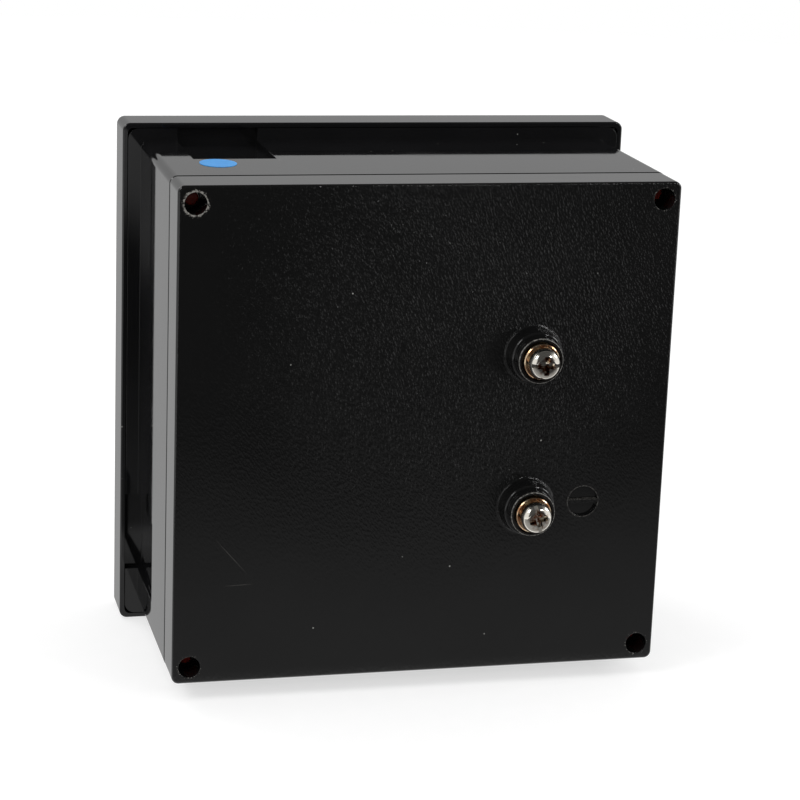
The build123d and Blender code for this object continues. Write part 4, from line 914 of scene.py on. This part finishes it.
# The floor is matt white board that the meter stands on. The camera sees it white, with
# the meter's shadow. Gloss sees it bright under the rear face and dark farther behind.
FLOOR_RADIUS = 1.2
FLOOR_GAP = 0.02 * MM
LANE_LEAN = 0.27
LANE_SHIFT = 0.015
LANE_SPREAD = 0.1
floor_mesh = bpy.data.meshes.new("floor")
disc = bmesh.new()
bmesh.ops.create_circle(disc, cap_ends=True, segments=96, radius=FLOOR_RADIUS)
disc.to_mesh(floor_mesh)
disc.free()
floor = bpy.data.objects.new("floor", floor_mesh)
floor.location = (0, 0, cad_box[0].z - FLOOR_GAP)
bpy.context.collection.objects.link(floor)
board, tree = start("matt_white_board")
rays = add(tree, "LightPath")
place = add(tree, "TexCoord").outputs["Object"]
at = add(tree, "SeparateXYZ", {}, {0: place})
fibre = add(tree, "TexNoise", {"Scale": 1 / (4 * MM), "Detail": 3.0}, {"Vector": place})
paper_white = add(
    tree, "Mix", {"data_type": "RGBA", 6: linear("#b9b9b9"), 7: linear("#c2c2c2")},
    {0: fibre.outputs[0]},
)
foot = add(
    tree, "MapRange", {"interpolation_type": "SMOOTHSTEP", 1: 0.03, 2: 0.055, 3: 0.58, 4: 1.0},
    {0: at.outputs["Y"]},
)
near = add(
    tree, "MapRange", {"interpolation_type": "SMOOTHSTEP", 1: 0.057, 2: 0.071, 3: 1.0, 4: 0.33},
    {0: at.outputs["Y"]},
)
near = add(tree, "Math", {"operation": "MINIMUM"}, {0: near.outputs[0], 1: foot.outputs[0]})
far = add(
    tree, "MapRange", {"interpolation_type": "SMOOTHSTEP", 1: 0.05, 2: 0.3, 3: 1.0, 4: 0.12},
    {0: at.outputs["Y"]},
)
dim = add(tree, "Math", {"operation": "MULTIPLY"}, {0: near.outputs[0], 1: far.outputs[0]})
# The lane that the rear face mirrors leads away from the meter and widens; beside it the
# floor is white again, which is what the metal of the terminals catches.
lane = add(
    tree, "Math", {"operation": "MULTIPLY_ADD", 1: LANE_LEAN},
    {0: at.outputs["Y"], 2: at.outputs["X"]},
)
lane = add(tree, "Math", {"operation": "ADD", 1: -LANE_SHIFT}, {0: lane.outputs[0]})
lane = add(tree, "Math", {"operation": "ABSOLUTE"}, {0: lane.outputs[0]})
lane = add(
    tree, "Math", {"operation": "MULTIPLY_ADD", 1: -LANE_SPREAD},
    {0: at.outputs["Y"], 2: lane.outputs[0]},
)
beside = add(
    tree, "MapRange", {"interpolation_type": "SMOOTHSTEP", 1: 0.15, 2: 0.2},
    {0: lane.outputs[0]},
)
behind = add(
    tree, "MapRange", {"interpolation_type": "SMOOTHSTEP", 1: 0.0, 2: 0.05},
    {0: at.outputs["Y"]},
)
aside = add(tree, "Math", {"operation": "MULTIPLY"}, {0: beside.outputs[0], 1: behind.outputs[0]})
dim = add(tree, "Math", {"operation": "MAXIMUM"}, {0: dim.outputs[0], 1: aside.outputs[0]})
mirrored = add(
    tree, "Mix", {"data_type": "FLOAT", 2: 0.0},
    {0: rays.outputs["Is Glossy Ray"], 3: dim.outputs[0]},
)
looked_at = add(
    tree, "Math", {"operation": "MAXIMUM"},
    {0: rays.outputs["Is Camera Ray"], 1: rays.outputs["Is Transmission Ray"]},
)
strength = add(
    tree, "Math", {"operation": "MULTIPLY_ADD", 1: 0.6},
    {0: looked_at.outputs[0], 2: mirrored.outputs[0]},
)
matt = add(tree, "BsdfDiffuse", {}, {"Color": paper_white.outputs[2]})
lift = add(tree, "Emission", {"Color": (1, 1, 1, 1)}, {"Strength": strength.outputs[0]})
lit = add(tree, "AddShader", {}, {0: matt.outputs[0], 1: lift.outputs[0]})
only_glow = add(
    tree, "MixShader", {},
    {0: rays.outputs["Is Glossy Ray"], 1: lit.outputs[0], 2: lift.outputs[0]},
)
add(tree, "OutputMaterial", {}, {"Surface": only_glow.outputs[0]})
floor_mesh.materials.append(board)

# The light: an even white room. What looks straight at it sees white. Gloss sees pale
# walls at both sides and before the front of the meter, and a dim room above and behind it.
world = bpy.data.worlds.new("studio")
bpy.context.scene.world = world
world.use_nodes = True
tree = world.node_tree
tree.nodes.clear()
rays = add(tree, "LightPath")
toward = add(tree, "SeparateXYZ", {}, {0: add(tree, "TexCoord").outputs["Generated"]})
aside = add(tree, "Math", {"operation": "ABSOLUTE"}, {0: toward.outputs["X"]})
side_walls = add(
    tree, "MapRange", {"interpolation_type": "SMOOTHSTEP", 1: 0.5, 2: 0.7, 4: 0.8},
    {0: aside.outputs[0]},
)
back_wall = add(
    tree, "MapRange", {"interpolation_type": "SMOOTHSTEP", 1: 0.0, 2: -0.4, 4: 0.5},
    {0: toward.outputs["Y"]},
)
ceiling = add(
    tree, "MapRange", {"interpolation_type": "SMOOTHSTEP", 1: 0.45, 2: 0.75, 3: 0.9, 4: 0.12},
    {0: toward.outputs["Z"]},
)
walls = add(
    tree, "Math", {"operation": "MAXIMUM"},
    {0: side_walls.outputs[0], 1: back_wall.outputs[0]},
)
room = add(tree, "Math", {"operation": "MULTIPLY"}, {0: walls.outputs[0], 1: ceiling.outputs[0]})
room = add(tree, "Math", {"operation": "ADD", 1: 0.06}, {0: room.outputs[0]})
looked_at = add(
    tree, "Math", {"operation": "MAXIMUM"},
    {0: rays.outputs["Is Camera Ray"], 1: rays.outputs["Is Transmission Ray"]},
)
level = add(
    tree, "Mix", {"data_type": "FLOAT", 2: 0.75},
    {0: rays.outputs["Is Glossy Ray"], 3: room.outputs[0]},
)
level = add(
    tree, "Mix", {"data_type": "FLOAT", 3: 1.0},
    {0: looked_at.outputs[0], 2: level.outputs[0]},
)
sky = add(tree, "Background", {"Color": (1, 1, 1, 1)}, {"Strength": level.outputs[0]})
add(tree, "OutputWorld", {}, {"Surface": sky.outputs[0]})

# Four softboxes aimed at the meter, each with its place, its width and its power. The
# small one behind gives the grain its glints. Left and right are those of the photograph.
for name, spot, size, power in (
    ("rear_softbox", (-0.28, 0.46, 0.2), 0.05, 0.3),
    ("left_softbox", (0.7, 0.38, 0.66), 0.3, 2.0),
    ("right_softbox", (-0.85, 0.06, 0.42), 0.25, 1.6),
    ("front_softbox", (0.6, -0.85, 0.65), 0.5, 2.6),
):
    lamp = bpy.data.lights.new(name, "AREA")
    lamp.shape = "SQUARE"
    lamp.size = size
    lamp.energy = power
    holder = bpy.data.objects.new(name, lamp)
    holder.location = spot
    holder.rotation_mode = "QUATERNION"
    holder.rotation_quaternion = (-Vector(spot)).to_track_quat("-Z", "Y")
    bpy.context.collection.objects.link(holder)

# The camera stands behind the meter, above it and to one side, as the photograph was
# taken. Its place comes from the corners of the case.
camera = bpy.data.objects.new("camera", bpy.data.cameras.new("camera"))
bpy.context.collection.objects.link(camera)
bpy.context.scene.camera = camera
camera.data.sensor_width = 36.0
camera.data.lens = 111.4
camera.data.clip_start = 0.01
stand = Vector((134.6 * MM, 559.3 * MM, 151.1 * MM))
ahead = Vector((-0.23758, -0.93450, -0.26509))
above = Vector((-0.02865, -0.26604, 0.96354))
camera.matrix_world = Matrix.Translation(stand) @ Matrix(
    (ahead.cross(above), above, -ahead)
).transposed().to_4x4()

bpy.context.scene.view_settings.view_transform = "Standard"
